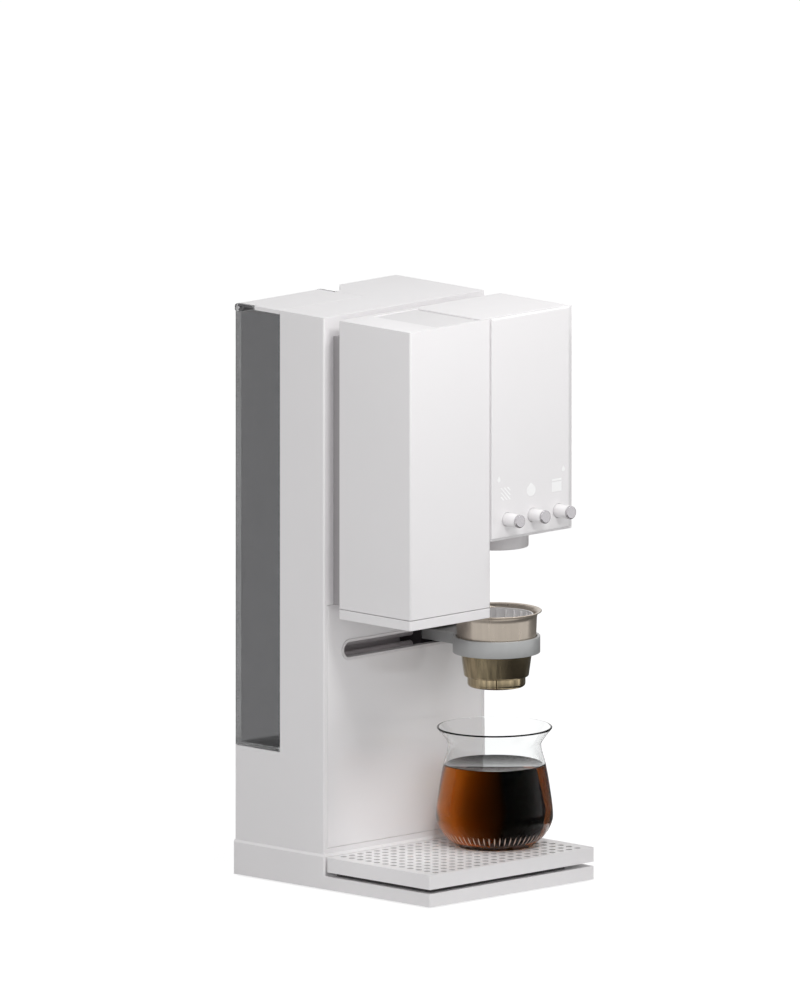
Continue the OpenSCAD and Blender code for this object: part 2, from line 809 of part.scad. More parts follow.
module column_shell() {
    panel_x = inner_x;
    ledge_x = panel_x - panel_ledge;
    seat_r = valve_r + run_gap + seat_wall;
    inlet_x1 = inlet_w / 2 + inlet_wall + fit_gap;
    inlet_z1 = inlet_h / 2 + inlet_wall + fit_gap;
    color(white) {
        difference() {
            union() {
                difference() {
                    block([left_x, front_y, skirt_top], [right_x, back_y, top_z], edge_r);
                    column_cavity();
                }
                at_screws() rod_z(0, 0, skirt_top, skirt_top + boss_h, boss_r);
                for (z = [heater_z + heater_h / 4, heater_top - heater_h / 4])
                    rod_x(heater_x1, inner_x + over, heater_mid_y, z, boss_r);
                at_power_standoffs()
                    rod_y(0, inner_back_y - power_standoff, inner_back_y + over, 0, standoff_r);
            }
            bay_cut();
            translate([0, 0, top_z - notch_h]) linear_extrude(notch_h + over) polygon([
                [bay_x - over, back_y - notch_d], [bay_x + notch_end_w, back_y - notch_d],
                [bay_x + notch_w, back_y], [bay_x + notch_w, back_y + over], [bay_x - over, back_y + over]
            ]);
            block([-panel_x, front_y - over, panel_z0], [panel_x, panel_back_y, panel_z1]);
            block(
                [-ledge_x, front_y - over, panel_z0 + panel_ledge],
                [ledge_x, inner_front_y + over, panel_z1 - panel_ledge]
            );
            neck_windows(front_y - over, inner_front_y + over);
            rod_z(tank_mid_x, tank_mid_y, bay_z - column_wall - over, bay_z + over, seat_r + run_gap);
            at_screws() rod_z(0, 0, skirt_top - over, skirt_top + boss_h - over, screw_r + run_gap);
            translate([inlet_x, inner_back_y, inlet_mid])
                block([-inlet_x1, -over, -inlet_z1], [inlet_x1, column_wall + over, inlet_z1]);
        }
    }
}

module column_front_panel() {
    panel_x = inner_x - fit_gap;
    sleeve_h = slot_h + 2 * sleeve_t;
    color(white) difference() {
        block([-panel_x, front_y, panel_z0 + fit_gap], [panel_x, panel_back_y, panel_z1 - fit_gap]);
        slot_bar(
            bezel_x - bezel_w + sleeve_t + run_gap, sleeve_h + 2 * run_gap,
            front_y - over, panel_back_y + over
        );
    }
}

module slot_bezel() {
    inner_l = bezel_x - bezel_w;
    color(pale) difference() {
        union() {
            slot_bar(bezel_x, slot_h + 2 * bezel_w, front_y - bezel_t, front_y);
            slot_bar(inner_l + sleeve_t, slot_h + 2 * sleeve_t, front_y - bezel_t, panel_back_y + rail_wall);
        }
        slot_bar(inner_l, slot_h, front_y - bezel_t - over, panel_back_y + rail_wall + over);
    }
}

// Arm drive behind the slot

module arm_rail_housing() {
    z0 = slot_mid - rail_h / 2;
    z1 = slot_mid + rail_h / 2;
    color(dark) difference() {
        block([rail_x0, panel_back_y, z0], [rail_x1, rail_y1, z1]);
        block(
            [rail_x0 + rail_end, panel_back_y + rail_wall, z0 + rail_wall],
            [rail_x1 - rail_end, rail_y1 - rail_wall, z1 - rail_wall]
        );
        slot_bar(
            bezel_x - bezel_w + sleeve_t + run_gap, slot_h + 2 * (sleeve_t + run_gap),
            panel_back_y - over, panel_back_y + rail_wall + over
        );
        for (k = [-1, 0, 1])
            rod_x(rail_x0 - over, rail_x1 + over, rod_y, slot_mid + k * rod_pitch, rod_r + run_gap);
    }
}

module guide_rods() {
    color(steel) for (k = [-1, 1]) rod_x(rail_x0, rail_x1, rod_y, slot_mid + k * rod_pitch, rod_r);
}

module lead_screw() {
    color(steel) rod_x(rail_x0 + over, rail_x1 + arm_motor_l / 2, rod_y, slot_mid, rod_r);
}

module arm_motor() {
    color(dark) difference() {
        rod_x(rail_x1, motor_x1, rod_y, slot_mid, arm_motor_r);
        rod_x(rail_x1 - over, rail_x1 + arm_motor_l / 2 + over, rod_y, slot_mid, rod_r + run_gap);
    }
}

module arm_carriage() {
    color(dark) difference() {
        block(
            [brew_x - carriage_w / 2, carriage_y0, slot_mid - carriage_h / 2],
            [brew_x + carriage_w / 2, carriage_y0 + carriage_d, slot_mid + carriage_h / 2]
        );
        for (k = [-1, 0, 1]) rod_x(
            brew_x - carriage_w / 2 - over, brew_x + carriage_w / 2 + over,
            rod_y, slot_mid + k * rod_pitch, rod_r + run_gap
        );
    }
}

module dripper_arm() {
    arm_x = arm_w / 2;
    color(steel) difference() {
        union() {
            rod_z(brew_x, brew_y, ring_z, ring_top, ring_r);
            block(
                [brew_x - arm_x, brew_y + ring_r - ring_wall, slot_mid - arm_h / 2],
                [brew_x + arm_x, carriage_y0, slot_mid + arm_h / 2]
            );
            block(
                [brew_x - arm_x, brew_y, slot_mid - arm_h / 2],
                [brew_x + arm_x, brew_y + ring_r, min(slot_mid + arm_h / 2, ring_top)]
            );
        }
        rod_z(brew_x, brew_y, lip_top, slot_mid + arm_h, ring_r - ring_wall);
        rod_z(brew_x, brew_y, ring_z - over, lip_top + over, lip_r);
    }
}

// Dripper

module dripper_cup() {
    shoulder_r = ring_r - ring_wall - cup_gap - cup_ease;
    w = cup_wall;
    shoulder = lip_top;
    flare_z = cup_z1 - cup_flare_h;
    turns = [for (k = [0:curve_steps]) 90 * k / curve_steps];
    reach = rim_r - cup_top_r;
    outside = [for (a = turns)
        [cup_top_r + reach * (1 - cos(a)), flare_z + (cup_flare_h - cup_rim_t) * sin(a)]];
    inside = [for (a = turns)
        [cup_top_r + reach - (reach + w) * cos(a), flare_z + cup_flare_h * sin(a)]];
    color(champagne) translate([brew_x, brew_y, 0]) rotate_extrude() polygon(concat(
        [
            [drain_r, cup_z0], [cup_foot_r - cup_bevel, cup_z0], [cup_foot_r, cup_z0 + cup_bevel],
            [cup_mid_r, shoulder], [shoulder_r, shoulder]
        ],
        outside, reversed(inside),
        [
            [shoulder_r - w, shoulder + w], [cup_mid_r - w, shoulder + w],
            [cup_foot_r - w, cup_z0 + w], [drain_r, cup_z0 + w]
        ]
    ));
}

module dripper_base() {
    r = drip_base_round;
    color(champagne) translate([brew_x, brew_y, 0]) rotate_extrude() difference() {
        union() {
            translate([drain_r, drip_base_z]) square([drip_base_r - r - drain_r, drip_base_h]);
            translate([drain_r, drip_base_z + r]) square([drip_base_r - drain_r, drip_base_h - r]);
            translate([drip_base_r - r, drip_base_z + r]) circle(r);
        }
        translate([drain_r + cup_wall, drip_base_z + cup_wall])
            square([drip_base_r - r - drain_r - cup_wall, drip_base_h - 2 * cup_wall]);
    }
}

module dripper_insert() {
    low_z = cup_z0 + cup_wall + cup_gap / 4;
    low_r = cup_foot_r - cup_wall - cup_gap - insert_ease;
    mid_z = lip_top + cup_wall;
    mid_r = cup_mid_r - cup_wall - cup_gap;
    top_r = cup_top_r - cup_wall - cup_gap - insert_ease;
    high_z = cup_z1 - cup_flare_h / 2;
    t = insert_t;
    color(white) translate([brew_x, brew_y, 0]) {
        rotate_extrude() polygon([
            [drain_r, low_z], [low_r, low_z], [mid_r, mid_z], [top_r, high_z],
            [top_r - t, high_z], [mid_r - t, mid_z], [low_r - t, low_z + t], [drain_r, low_z + t]
        ]);
        for (k = [0:rib_count - 1])
            rotate([90, 0, k * 360 / rib_count]) translate([0, 0, -rib_t / 2]) linear_extrude(rib_t) polygon([
                [low_r - t / 2, low_z + t / 2], [mid_r - t / 2, mid_z], [top_r - t / 2, high_z - t],
                [top_r - t - rib_d, high_z - t], [mid_r - t - rib_d, mid_z],
                [low_r - t - rib_d, low_z + t / 2]
            ]);
    }
}

// Neck and grinder block

module neck_frame() {
    color(white) difference() {
        union() {
            block([-neck_x, block_back_y, panel_z1], [0, front_y, neck_z1]);
            block([-over, block_back_y, neck_z2], [neck_x, front_y, neck_z1]);
        }
        neck_windows(block_back_y - over, front_y + over);
    }
}

module grinder_housing() {
    w = block_wall;
    x0 = left_x + w;
    x1 = grinder_x1 - w;
    y0 = block_front_y + w;
    y1 = block_back_y - w;
    open_x1 = hopper_x1 + hopper_swing;
    color(white) difference() {
        block([left_x, block_front_y, housing_z], [grinder_x1, block_back_y, top_z], edge_r);
        block([x0, y0, housing_z - over], [x1, y1, top_z - grinder_top_t]);
        block(
            [-neck_x + neck_wall, y1 - over, panel_z1 + neck_wall],
            [x1 - neck_wall, block_back_y + over, neck_z1 - neck_wall]
        );
        block(
            [hopper_x0 - fit_gap, hopper_y0 - fit_gap, top_z - grinder_top_t - over],
            [open_x1, hopper_y1 + fit_gap, top_z + over]
        );
        along_y(hopper_y0, hopper_y1) polygon([
            [hopper_x0 - bevel_w, top_z + over / 10],
            [hopper_x0, top_z + over / 10],
            [hopper_x0, hopper_lid_top]
        ]);
        rod_y(hopper_pin_x, hopper_y0 - pin_bite, hopper_y1 + pin_bite, hopper_pin_z, hopper_pin_r + run_gap);
    }
}

module grinder_bottom_band() {
    w = block_wall + fit_gap;
    t = block_wall;
    color(white) difference() {
        union() {
            block([left_x, block_front_y, grinder_z], [grinder_x1, block_back_y, band_top], edge_r);
            block(
                [left_x + w, block_front_y + w, band_top - over],
                [grinder_x1 - w, block_back_y - w, housing_z + tongue_h]
            );
        }
        block(
            [left_x + w + t, block_front_y + w + t, grinder_z + band_floor],
            [grinder_x1 - w - t, block_back_y - w - t, housing_z + tongue_h + over]
        );
        rod_z(grind_x, brew_y, grinder_z - over, grinder_z + band_floor + over, chute_r + fit_gap);
    }
}

module hopper_lid() {
    r = hopper_lid_t / 2;
    color(white) difference() {
        union() {
            block([hopper_x0, hopper_y0, hopper_lid_z], [hopper_pin_x, hopper_y1, hopper_lid_top]);
            rod_y(hopper_pin_x, hopper_y0, hopper_y1, hopper_pin_z, r);
        }
        rod_y(hopper_pin_x, hopper_y0 - over, hopper_y1 + over, hopper_pin_z, hopper_pin_r + run_gap);
    }
}

module hopper_hinge_pin() {
    color(steel) rod_y(hopper_pin_x, hopper_y0 - pin_bite, hopper_y1 + pin_bite, hopper_pin_z, hopper_pin_r);
}

module bean_funnel() {
    t = funnel_t;
    lap = funnel_lap;
    high = [min(hopper_x1 + lap, grinder_x1 - block_wall - fit_gap), hopper_y1 + lap, top_z - grinder_top_t];
    low = [hopper_x0 - lap, max(hopper_y0 - lap, block_front_y + block_wall + fit_gap), funnel_z];
    neck_z = shaft_z + chamber_r + neck_l;
    color(smoke) difference() {
        union() {
            block(low, high);
            rod_z(grind_x, chamber_mid_y, neck_z, funnel_z + over, inlet_r);
        }
        block([low.x + t, low.y + t, funnel_z + t], [high.x - t, high.y - t, high.z + over]);
        rod_z(grind_x, chamber_mid_y, neck_z - over, funnel_z + t + over, inlet_r - t);
    }
}

module burr_housing() {
    neck_z = shaft_z + chamber_r + neck_l;
    outlet_z = shaft_z - chamber_r - neck_l;
    color(dark) difference() {
        union() {
            rod_y(grind_x, chamber_y0, motor_y0, shaft_z, chamber_r);
            rod_z(grind_x, chamber_mid_y, outlet_z, neck_z, inlet_r);
        }
        rod_y(grind_x, chamber_y0 + chamber_wall, motor_y0 - chamber_wall, shaft_z, chamber_r - chamber_wall);
        rod_z(grind_x, chamber_mid_y, outlet_z - over, neck_z + over, inlet_r - funnel_t);
        rod_y(grind_x, motor_y0 - chamber_wall - over, motor_y0 + over, shaft_z, burr_shaft_r + run_gap);
    }
}

module outer_burr() {
    color(steel) difference() {
        rod_y(grind_x, outer_burr_y, outer_burr_y + burr_t, shaft_z, burr_r);
        rod_y(grind_x, outer_burr_y - over, outer_burr_y + burr_t + over, shaft_z, burr_eye_r);
    }
}

module inner_burr() {
    color(steel) difference() {
        rod_y(grind_x, inner_burr_y, inner_burr_y + burr_t, shaft_z, burr_r);
        rod_y(grind_x, inner_burr_y - over, inner_burr_y + burr_t + over, shaft_z, burr_shaft_r + run_gap);
    }
}

module burr_shaft() {
    carrier_y = inner_burr_y + burr_t;
    color(steel) {
        rod_y(grind_x, inner_burr_y, motor_y0 + motor_l / 2, shaft_z, burr_shaft_r);
        rod_y(grind_x, carrier_y, carrier_y + burr_t / 2, shaft_z, burr_r - chamber_wall);
    }
}

module grinder_motor() {
    color(steel) difference() {
        rod_y(grind_x, motor_y0, motor_y1, shaft_z, motor_r);
        rod_y(grind_x, motor_y0 - over, motor_y0 + motor_l / 2 + over, shaft_z, burr_shaft_r + run_gap);
    }
}

// The chute's space, drawn in by a wall thickness
module chute_body(inset, reach) {
    outlet_z = shaft_z - chamber_r - neck_l;
    straight_z = grinder_z + band_h;
    hull() {
        rod_z(grind_x, chamber_mid_y, outlet_z - over, outlet_z + reach, inlet_r - inset);
        rod_z(grind_x, brew_y, straight_z - reach, straight_z + over, chute_r - inset);
    }
    rod_z(grind_x, brew_y, grinder_z + fit_gap - reach, straight_z + over, chute_r - inset);
}

module grind_chute() {
    color(dark) difference() {
        chute_body(0, 0);
        chute_body(funnel_t, over);
    }
}

// Brewer block

module brewer_housing() {
    w = block_wall;
    color(white) difference() {
        block([brewer_x0, control_back_y, brewer_plate_top], [right_x, block_back_y, top_z]);
        block(
            [brewer_x0 + w, control_back_y - over, brewer_plate_top - over],
            [right_x - w, block_back_y - w, top_z - w]
        );
        block(
            [brewer_x0 + w + neck_wall, block_back_y - w - over, neck_z2 + neck_wall],
            [neck_x - neck_wall, block_back_y + over, neck_z1 - neck_wall]
        );
    }
}

module at_control_standoffs() {
    x = control_board_w / 2 - standoff_in;
    low_z = knob_mid + encoder_side / 2 + standoff_in;
    for (s = [-x, x], z = [low_z, control_board_z + control_board_h - standoff_in])
        translate([brew_x + s, 0, z]) children();
}

module control_panel() {
    left_b = control_left_bevel;
    top_b = control_top_bevel;
    y0 = control_front_y;
    y1 = control_back_y;
    color(white) {
        difference() {
            translate([0, 0, brewer_plate_top]) linear_extrude(top_z - brewer_plate_top) polygon([
                [brewer_x0, y1], [brewer_x0, y0 + left_b], [brewer_x0 + left_b, y0],
                [right_x - control_slope_w, y0], [right_x, y0 + control_slope_d], [right_x, y1]
            ]);
            along_x(brewer_x0 - over, right_x + over) polygon([
                [y0 - over, top_z - top_b - over], [y0 + top_b + over, top_z + over],
                [y0 - over, top_z + over]
            ]);
            for (x = knob_xs) rod_y(x, y0 - over, y1 + over, knob_mid, knob_d / 2 + knob_gap);
        }
        at_control_standoffs() rod_y(0, y1 - over, board_y, 0, standoff_r);
    }
}

module brewer_bottom_plate() {
    w = block_wall + fit_gap;
    color(white) difference() {
        union() {
            block([brewer_x0, block_front_y, brewer_z], [right_x, block_back_y, brewer_plate_top]);
            block(
                [brewer_x0 + w, control_back_y + w, brewer_z],
                [right_x - w, block_back_y - w, brewer_plate_top + brewer_plate_t / 2]
            );
        }
        rod_z(brew_x, brew_y, brewer_z - over, brewer_plate_top + brewer_plate_t, nozzle_neck_r + run_gap);
    }
}

module nozzle_collar() {
    chamber_r2 = nozzle_r - nozzle_wall;
    cap_z = brewer_plate_top + brewer_plate_t;
    color(pale) difference() {
        union() {
            rod_z(brew_x, brew_y, nozzle_z, brewer_z, nozzle_r);
            rod_z(brew_x, brew_y, brewer_z - over, cap_z, nozzle_neck_r);
            rod_z(brew_x, brew_y, cap_z - over, cap_z + nipple_l, hose_r);
        }
        rod_z(brew_x, brew_y, nozzle_z - over, brewer_z - nozzle_wall, chamber_r2);
        rod_z(brew_x, brew_y, nozzle_z, cap_z + nipple_l + over, hose_r / 2);
    }
}

module nozzle_shower_plate() {
    r = nozzle_r - nozzle_wall - run_gap;
    z = nozzle_z + shower_t / 2;
    color(dark) difference() {
        rod_z(brew_x, brew_y, z, z + shower_t, r);
        for (ring = [1:3], k = [0:6 * ring - 1])
            translate([brew_x, brew_y, 0]) rotate([0, 0, k * 60 / ring])
                rod_z(ring * r / 4, 0, z - over, z + shower_t + over, shower_hole_r);
    }
}

module control_board() {
    x = control_board_w / 2;
    color(green)
        translate([brew_x, board_y, control_board_z]) block([-x, 0, 0], [x, board_t, control_board_h]);
}

module encoder_bodies() {
    s = encoder_side / 2;
    color(dark) for (x = knob_xs) difference() {
        union() {
            translate([x, 0, knob_mid]) block([-s, board_y - encoder_d, -s], [s, board_y, s]);
            rod_y(
                x, control_back_y + fit_gap, board_y - encoder_d + over,
                knob_mid, rotor_r + encoder_neck_t
            );
        }
        rod_y(x, control_back_y - over, board_y - over, knob_mid, rotor_r + run_gap);
    }
}

module encoder_rotor(x) {
    color(steel) rod_y(x, control_front_y - knob_out / 2, board_y - over - fit_gap, knob_mid, rotor_r);
}

module knob(x) {
    back = control_front_y + control_t / 3;
    front = control_front_y - knob_out + cap_l;
    color(white) difference() {
        rod_y(x, front, back, knob_mid, knob_d / 2);
        rod_y(
            x, control_front_y - knob_out / 2 - knob_travel - over, back + over,
            knob_mid, rotor_r + run_gap
        );
    }
}

module knob_cap(x) {
    r = knob_d / 2;
    b = cap_bevel;
    color(steel) translate([x, control_front_y - knob_out + cap_l, knob_mid]) rotate([90, 0, 0])
        rotate_extrude() polygon([[0, 0], [r, 0], [r, cap_l - b], [r - b, cap_l], [0, cap_l]]);
}

module encoder_rotor_left() { encoder_rotor(knob_xs[0]); }
module encoder_rotor_center() { encoder_rotor(knob_xs[1]); }
module encoder_rotor_right() { encoder_rotor(knob_xs[2]); }
module knob_left() { knob(knob_xs[0]); }
module knob_center() { knob(knob_xs[1]); }
module knob_right() { knob(knob_xs[2]); }
module knob_cap_left() { knob_cap(knob_xs[0]); }
module knob_cap_center() { knob_cap(knob_xs[1]); }
module knob_cap_right() { knob_cap(knob_xs[2]); }

// Water and power inside the column

module water_pump() {
    s = pump_size;
    color(dark) translate([tank_mid_x, tank_mid_y, pump_z]) {
        block([-s.x / 2, -s.y / 2, 0], [s.x / 2, s.y / 2, s.z]);
        rod_z(0, 0, s.z - over, s.z + nipple_l, hose_r);
        rod_x(s.x / 2 - over, s.x / 2 + nipple_l, 0, s.z / 2, hose_r);
    }
}

module heater_block() {
    color(steel) {
        block([heater_x0, heater_y1 - heater_d, heater_z], [heater_x1, heater_y1, heater_top]);
        rod_z(hose_x, heater_mid_y, heater_z - nipple_l, heater_z + over, hose_r);
        rod_z(brew_x, heater_mid_y, heater_top - over, heater_top + nipple_l, hose_r);
    }
}

// A hose along straight runs with round corners
module hose(points) {
    for (i = [0:len(points) - 2]) {
        a = points[i];
        d = points[i + 1] - a;
        translate(a) {
            if (abs(d.x) > 0) rod_x(min(d.x, 0), max(d.x, 0), 0, 0, hose_r);
            if (abs(d.y) > 0) rod_y(0, min(d.y, 0), max(d.y, 0), 0, hose_r);
            if (abs(d.z) > 0) rod_z(0, 0, min(d.z, 0), max(d.z, 0), hose_r);
        }
    }
    for (i = [1:1:len(points) - 2]) translate(points[i]) sphere(hose_r);
}

module water_hoses() {
    pump_out_z = pump_z + pump_size.z / 2;
    pump_out_x = tank_mid_x + pump_size.x / 2 + nipple_l;
    nozzle_top = brewer_plate_top + brewer_plate_t + nipple_l;
    color(pale) {
        hose([[tank_mid_x, tank_mid_y, pump_top + nipple_l], [tank_mid_x, tank_mid_y, seat_z - nipple_l]]);
        hose([
            [pump_out_x, tank_mid_y, pump_out_z], [hose_x, tank_mid_y, pump_out_z],
            [hose_x, heater_mid_y, pump_out_z], [hose_x, heater_mid_y, heater_z - nipple_l]
        ]);
        hose([
            [brew_x, heater_mid_y, heater_top + nipple_l], [brew_x, heater_mid_y, cross_z],
            [brew_x, brew_y, cross_z], [brew_x, brew_y, nozzle_top]
        ]);
    }
}

power_x1 = inner_x - boss_r;
power_x0 = power_x1 - power_board_size.x;

module at_power_standoffs() {
    i = standoff_in;
    for (x = [power_x0 + i, power_x1 - i], z = [power_z + i, power_z + power_board_size.y - i])
        translate([x, 0, z]) children();
}

module power_board() {
    y1 = inner_back_y - power_standoff;
    y0 = y1 - board_t;
    third = power_board_size.y / 3;
    half = power_board_size.x / 2;
    color(green) {
        block([power_x0, y0, power_z], [power_x1, y1, power_z + power_board_size.y]);
        block(
            [power_x0 + half, y0 - power_part_h, power_z + third],
            [power_x1 - standoff_in, y0 + board_t / 2, power_z + 2 * third]
        );
        rod_y(power_x0 + half, y0 - power_part_h, y0 + board_t / 2, power_z + third / 2, half / 3);
    }
}

module power_inlet() {
    w = inlet_w / 2 + inlet_wall;
    h = inlet_h / 2 + inlet_wall;
    f = inlet_flange;
    color(dark) translate([inlet_x, 0, inlet_mid]) {
        difference() {
            union() {
                block([-w, back_y - inlet_d - inlet_wall, -h], [w, back_y, h]);
                block([-w - f, inner_back_y - inlet_wall, -h - f], [w + f, inner_back_y, h + f]);
            }
            block([-inlet_w / 2, back_y - inlet_d, -inlet_h / 2], [inlet_w / 2, back_y + over, inlet_h / 2]);
        }
        for (p = [[-inlet_w / 4, -contact_drop], [0, contact_rise], [inlet_w / 4, -contact_drop]])
            rod_y(p.x, back_y - inlet_d - over, back_y - inlet_wall, p.y, contact_r);
    }
}

// Tray, scale and carafe

module scale_platform() {
    color(dark) {
        block(
            [-base_x + platform_in, base_front_y + platform_in, platform_z],
            [base_x - platform_right, tray_y1 - platform_in, tray_z]
        );
        rod_z(cell_l / 2 - cell_w / 2, tray_mid_y, cell_top, platform_z + cell_pad, cell_w / 2);
    }
}

module load_cell() {
    color(steel) translate([0, tray_mid_y, 0])
        block([-cell_l / 2, -cell_w / 2, cell_z], [cell_l / 2, cell_w / 2, cell_top]);
}

module drip_pan() {
    g = tray_wall + pan_gap;
    w = pan_wall;
    low = [-base_x + g, base_front_y + g, tray_z];
    high = [base_x - g, tray_y1 - g, pan_top];
    color(pale) difference() {
        block(low, high, edge_r);
        block([low.x + w, low.y + w, tray_z + w], [high.x - w, high.y - w, pan_top + over]);
    }
}

module drip_tray_cover() {
    w = tray_wall;
    x0 = -(hole_cols * hole_pitch) / 2;
    y0 = tray_mid_y - hole_rows * hole_pitch / 2;
    color(white) difference() {
        block([-base_x, base_front_y, tray_z], [base_x, tray_y1, tray_top], edge_r);
        block([-base_x + w, base_front_y + w, tray_z - over], [base_x - w, tray_y1 - w, pan_top]);
        for (i = [0:hole_cols], j = [0:hole_rows])
            rod_z(x0 + i * hole_pitch, y0 + j * hole_pitch, pan_top - over, tray_top + over, hole_d / 2);
    }
}

module carafe() {
    outside = curve(carafe_outline);
    floor_r = lookup(glass_floor, [for (p = outside) [p.y, p.x]]) - glass_t;
    inside = [for (p = outside) if (p.y > glass_floor + glass_t / 2) [p.x - glass_t, p.y]];
    color([0.9, 0.92, 0.93, 0.4]) translate([carafe_x, carafe_y, tray_top])
        rotate_extrude() polygon(concat(
            [[0, 0]], outside, reversed(inside), [[floor_r, glass_floor], [0, glass_floor]]
        ));
}

// Water tank

module water_tank() {
    w = tank_wall;
    rear_top = lid_pin_z - lid_barrel_r - cup_gap;
    color(smoke) difference() {
        union() {
            block([left_x, tank_y0, tank_z], [tank_x1, back_y, tank_rim], edge_r);
            for (x = [left_x, tank_x1 - w]) along_x(x, x + w) {
                translate([ear_y, tank_rim - w]) square([ear_d, w]);
                translate([ear_y + tank_lid_t, tank_rim]) square([ear_d - 2 * tank_lid_t, tank_lid_t]);
                for (y = [ear_y + tank_lid_t, back_y - tank_lid_t]) intersection() {
                    translate([y, tank_rim]) circle(tank_lid_t);
                    translate([ear_y, tank_rim]) square([ear_d, tank_lid_t]);
                }
            }
        }
        block([left_x + w, tank_y0 + w, tank_z + w], [tank_x1 - w, back_y - tank_back_wall, top_z + over]);
        block([left_x + w, ear_y, rear_top], [tank_x1 - w, back_y + over, top_z + over]);
        rod_x(left_x - over, tank_x1 + over, lid_pin_y, lid_pin_z, lid_pin_r + run_gap);
        rod_z(tank_mid_x, tank_mid_y, tank_z - over, tank_z + w + over, valve_r + run_gap);
    }
}

module tank_valve() {
    color(dark) difference() {
        union() {
            rod_z(tank_mid_x, tank_mid_y, tank_z - valve_drop, tank_z + tank_wall + over, valve_r);
            rod_z(tank_mid_x, tank_mid_y, tank_z + tank_wall, tank_z + 2 * tank_wall, valve_flange_r);
        }
        rod_z(tank_mid_x, tank_mid_y, tank_z - valve_drop - over, tank_z + 2 * tank_wall + over, valve_r / 2);
    }
}

module tank_seat() {
    r = valve_r + run_gap + seat_wall;
    floor_under = bay_z - column_wall;
    color(dark) difference() {
        union() {
            rod_z(tank_mid_x, tank_mid_y, seat_z, bay_z, r);
            rod_z(tank_mid_x, tank_mid_y, floor_under - seat_wall, floor_under, r + seat_wall);
            rod_z(tank_mid_x, tank_mid_y, seat_z - nipple_l, seat_z + over, hose_r);
        }
        rod_z(tank_mid_x, tank_mid_y, tank_z - valve_drop - over, bay_z + over, valve_r + run_gap);
        rod_z(tank_mid_x, tank_mid_y, seat_z - nipple_l - over, bay_z, hose_r / 2);
    }
}

module tank_lid() {
    w = tank_wall + ear_gap / 2;
    front_end = ear_y - ear_gap;
    color(white) difference() {
        union() {
            block([left_x, tank_y0, tank_rim], [tank_x1, front_end, top_z]);
            block([left_x + w, front_end - over, tank_rim], [tank_x1 - w, lid_pin_y, top_z]);
            rod_x(left_x + w, tank_x1 - w, lid_pin_y, lid_pin_z, lid_barrel_r);
        }
        rod_x(left_x, tank_x1, lid_pin_y, lid_pin_z, lid_pin_r + run_gap);
    }
}

module tank_hinge_pin() {
    color(steel) rod_x(left_x + fit_gap, tank_x1 - fit_gap, lid_pin_y, lid_pin_z, lid_pin_r);
}

base_plate();
rubber_feet();
housing_screws();
column_shell();
column_front_panel();
slot_bezel();
arm_rail_housing();
guide_rods();
lead_screw();
arm_motor();
arm_carriage();
dripper_arm();
dripper_cup();
dripper_base();
dripper_insert();
neck_frame();
grinder_housing();
grinder_bottom_band();
hopper_lid();
hopper_hinge_pin();
bean_funnel();
burr_housing();
outer_burr();
inner_burr();
burr_shaft();
grinder_motor();
grind_chute();
brewer_housing();
control_panel();
brewer_bottom_plate();
nozzle_collar();
nozzle_shower_plate();
control_board();
encoder_bodies();
encoder_rotor_left();
encoder_rotor_center();
encoder_rotor_right();
knob_left();
knob_center();
knob_right();
knob_cap_left();
knob_cap_center();
knob_cap_right();
water_pump();
heater_block();
water_hoses();
power_board();
power_inlet();
scale_platform();
load_cell();
drip_pan();
drip_tray_cover();
carafe();
water_tank();
tank_valve();
tank_seat();
tank_lid();
tank_hinge_pin();
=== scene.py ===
import json
import math

import bmesh
import bpy
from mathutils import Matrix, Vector


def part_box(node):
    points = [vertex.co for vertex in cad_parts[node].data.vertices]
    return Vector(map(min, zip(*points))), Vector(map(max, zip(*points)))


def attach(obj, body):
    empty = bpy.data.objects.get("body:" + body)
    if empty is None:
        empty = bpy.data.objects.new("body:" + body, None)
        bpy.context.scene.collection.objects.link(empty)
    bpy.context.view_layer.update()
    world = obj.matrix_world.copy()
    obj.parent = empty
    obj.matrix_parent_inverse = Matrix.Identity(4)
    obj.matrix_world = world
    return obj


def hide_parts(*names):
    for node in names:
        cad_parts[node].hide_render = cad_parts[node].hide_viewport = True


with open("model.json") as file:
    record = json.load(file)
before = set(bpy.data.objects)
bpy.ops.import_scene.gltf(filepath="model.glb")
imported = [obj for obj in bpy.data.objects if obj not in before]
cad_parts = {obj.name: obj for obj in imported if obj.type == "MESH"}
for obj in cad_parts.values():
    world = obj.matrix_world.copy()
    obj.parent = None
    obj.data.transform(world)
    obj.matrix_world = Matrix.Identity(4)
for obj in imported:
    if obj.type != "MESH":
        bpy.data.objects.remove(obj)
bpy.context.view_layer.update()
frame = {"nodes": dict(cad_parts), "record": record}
NODES = frame["nodes"]
MM = 0.001

# View of the photograph: parallel, seen from the front left and a little from above
VIEW_AZIMUTH = math.radians(-45)
VIEW_ELEVATION = math.radians(10)
VIEW_HEIGHT = 745.5 * MM
VIEW_SHIFT_RIGHT = -10.27 * MM
VIEW_SHIFT_UP = 282.05 * MM
CAMERA_DISTANCE = 1.6
CAMERA_REACH = 20

# Light from all round, where 1 is the level at which a colour renders as it is written
SKY_EVEN = 0.48
SKY_TO_RIGHT = -0.27
SKY_TO_BACK = -0.2

# Two soft lamps above the front corners, in metres as the whole stage: place, size and power
LAMP_AIM = Vector((0, -0.02, 0.2))
LEFT_LAMP = (Vector((-0.24, -0.508, 0.784)), 0.19, 1.75)
RIGHT_LAMP = (Vector((0.28, -0.332, 0.88)), 0.18, 1.15)

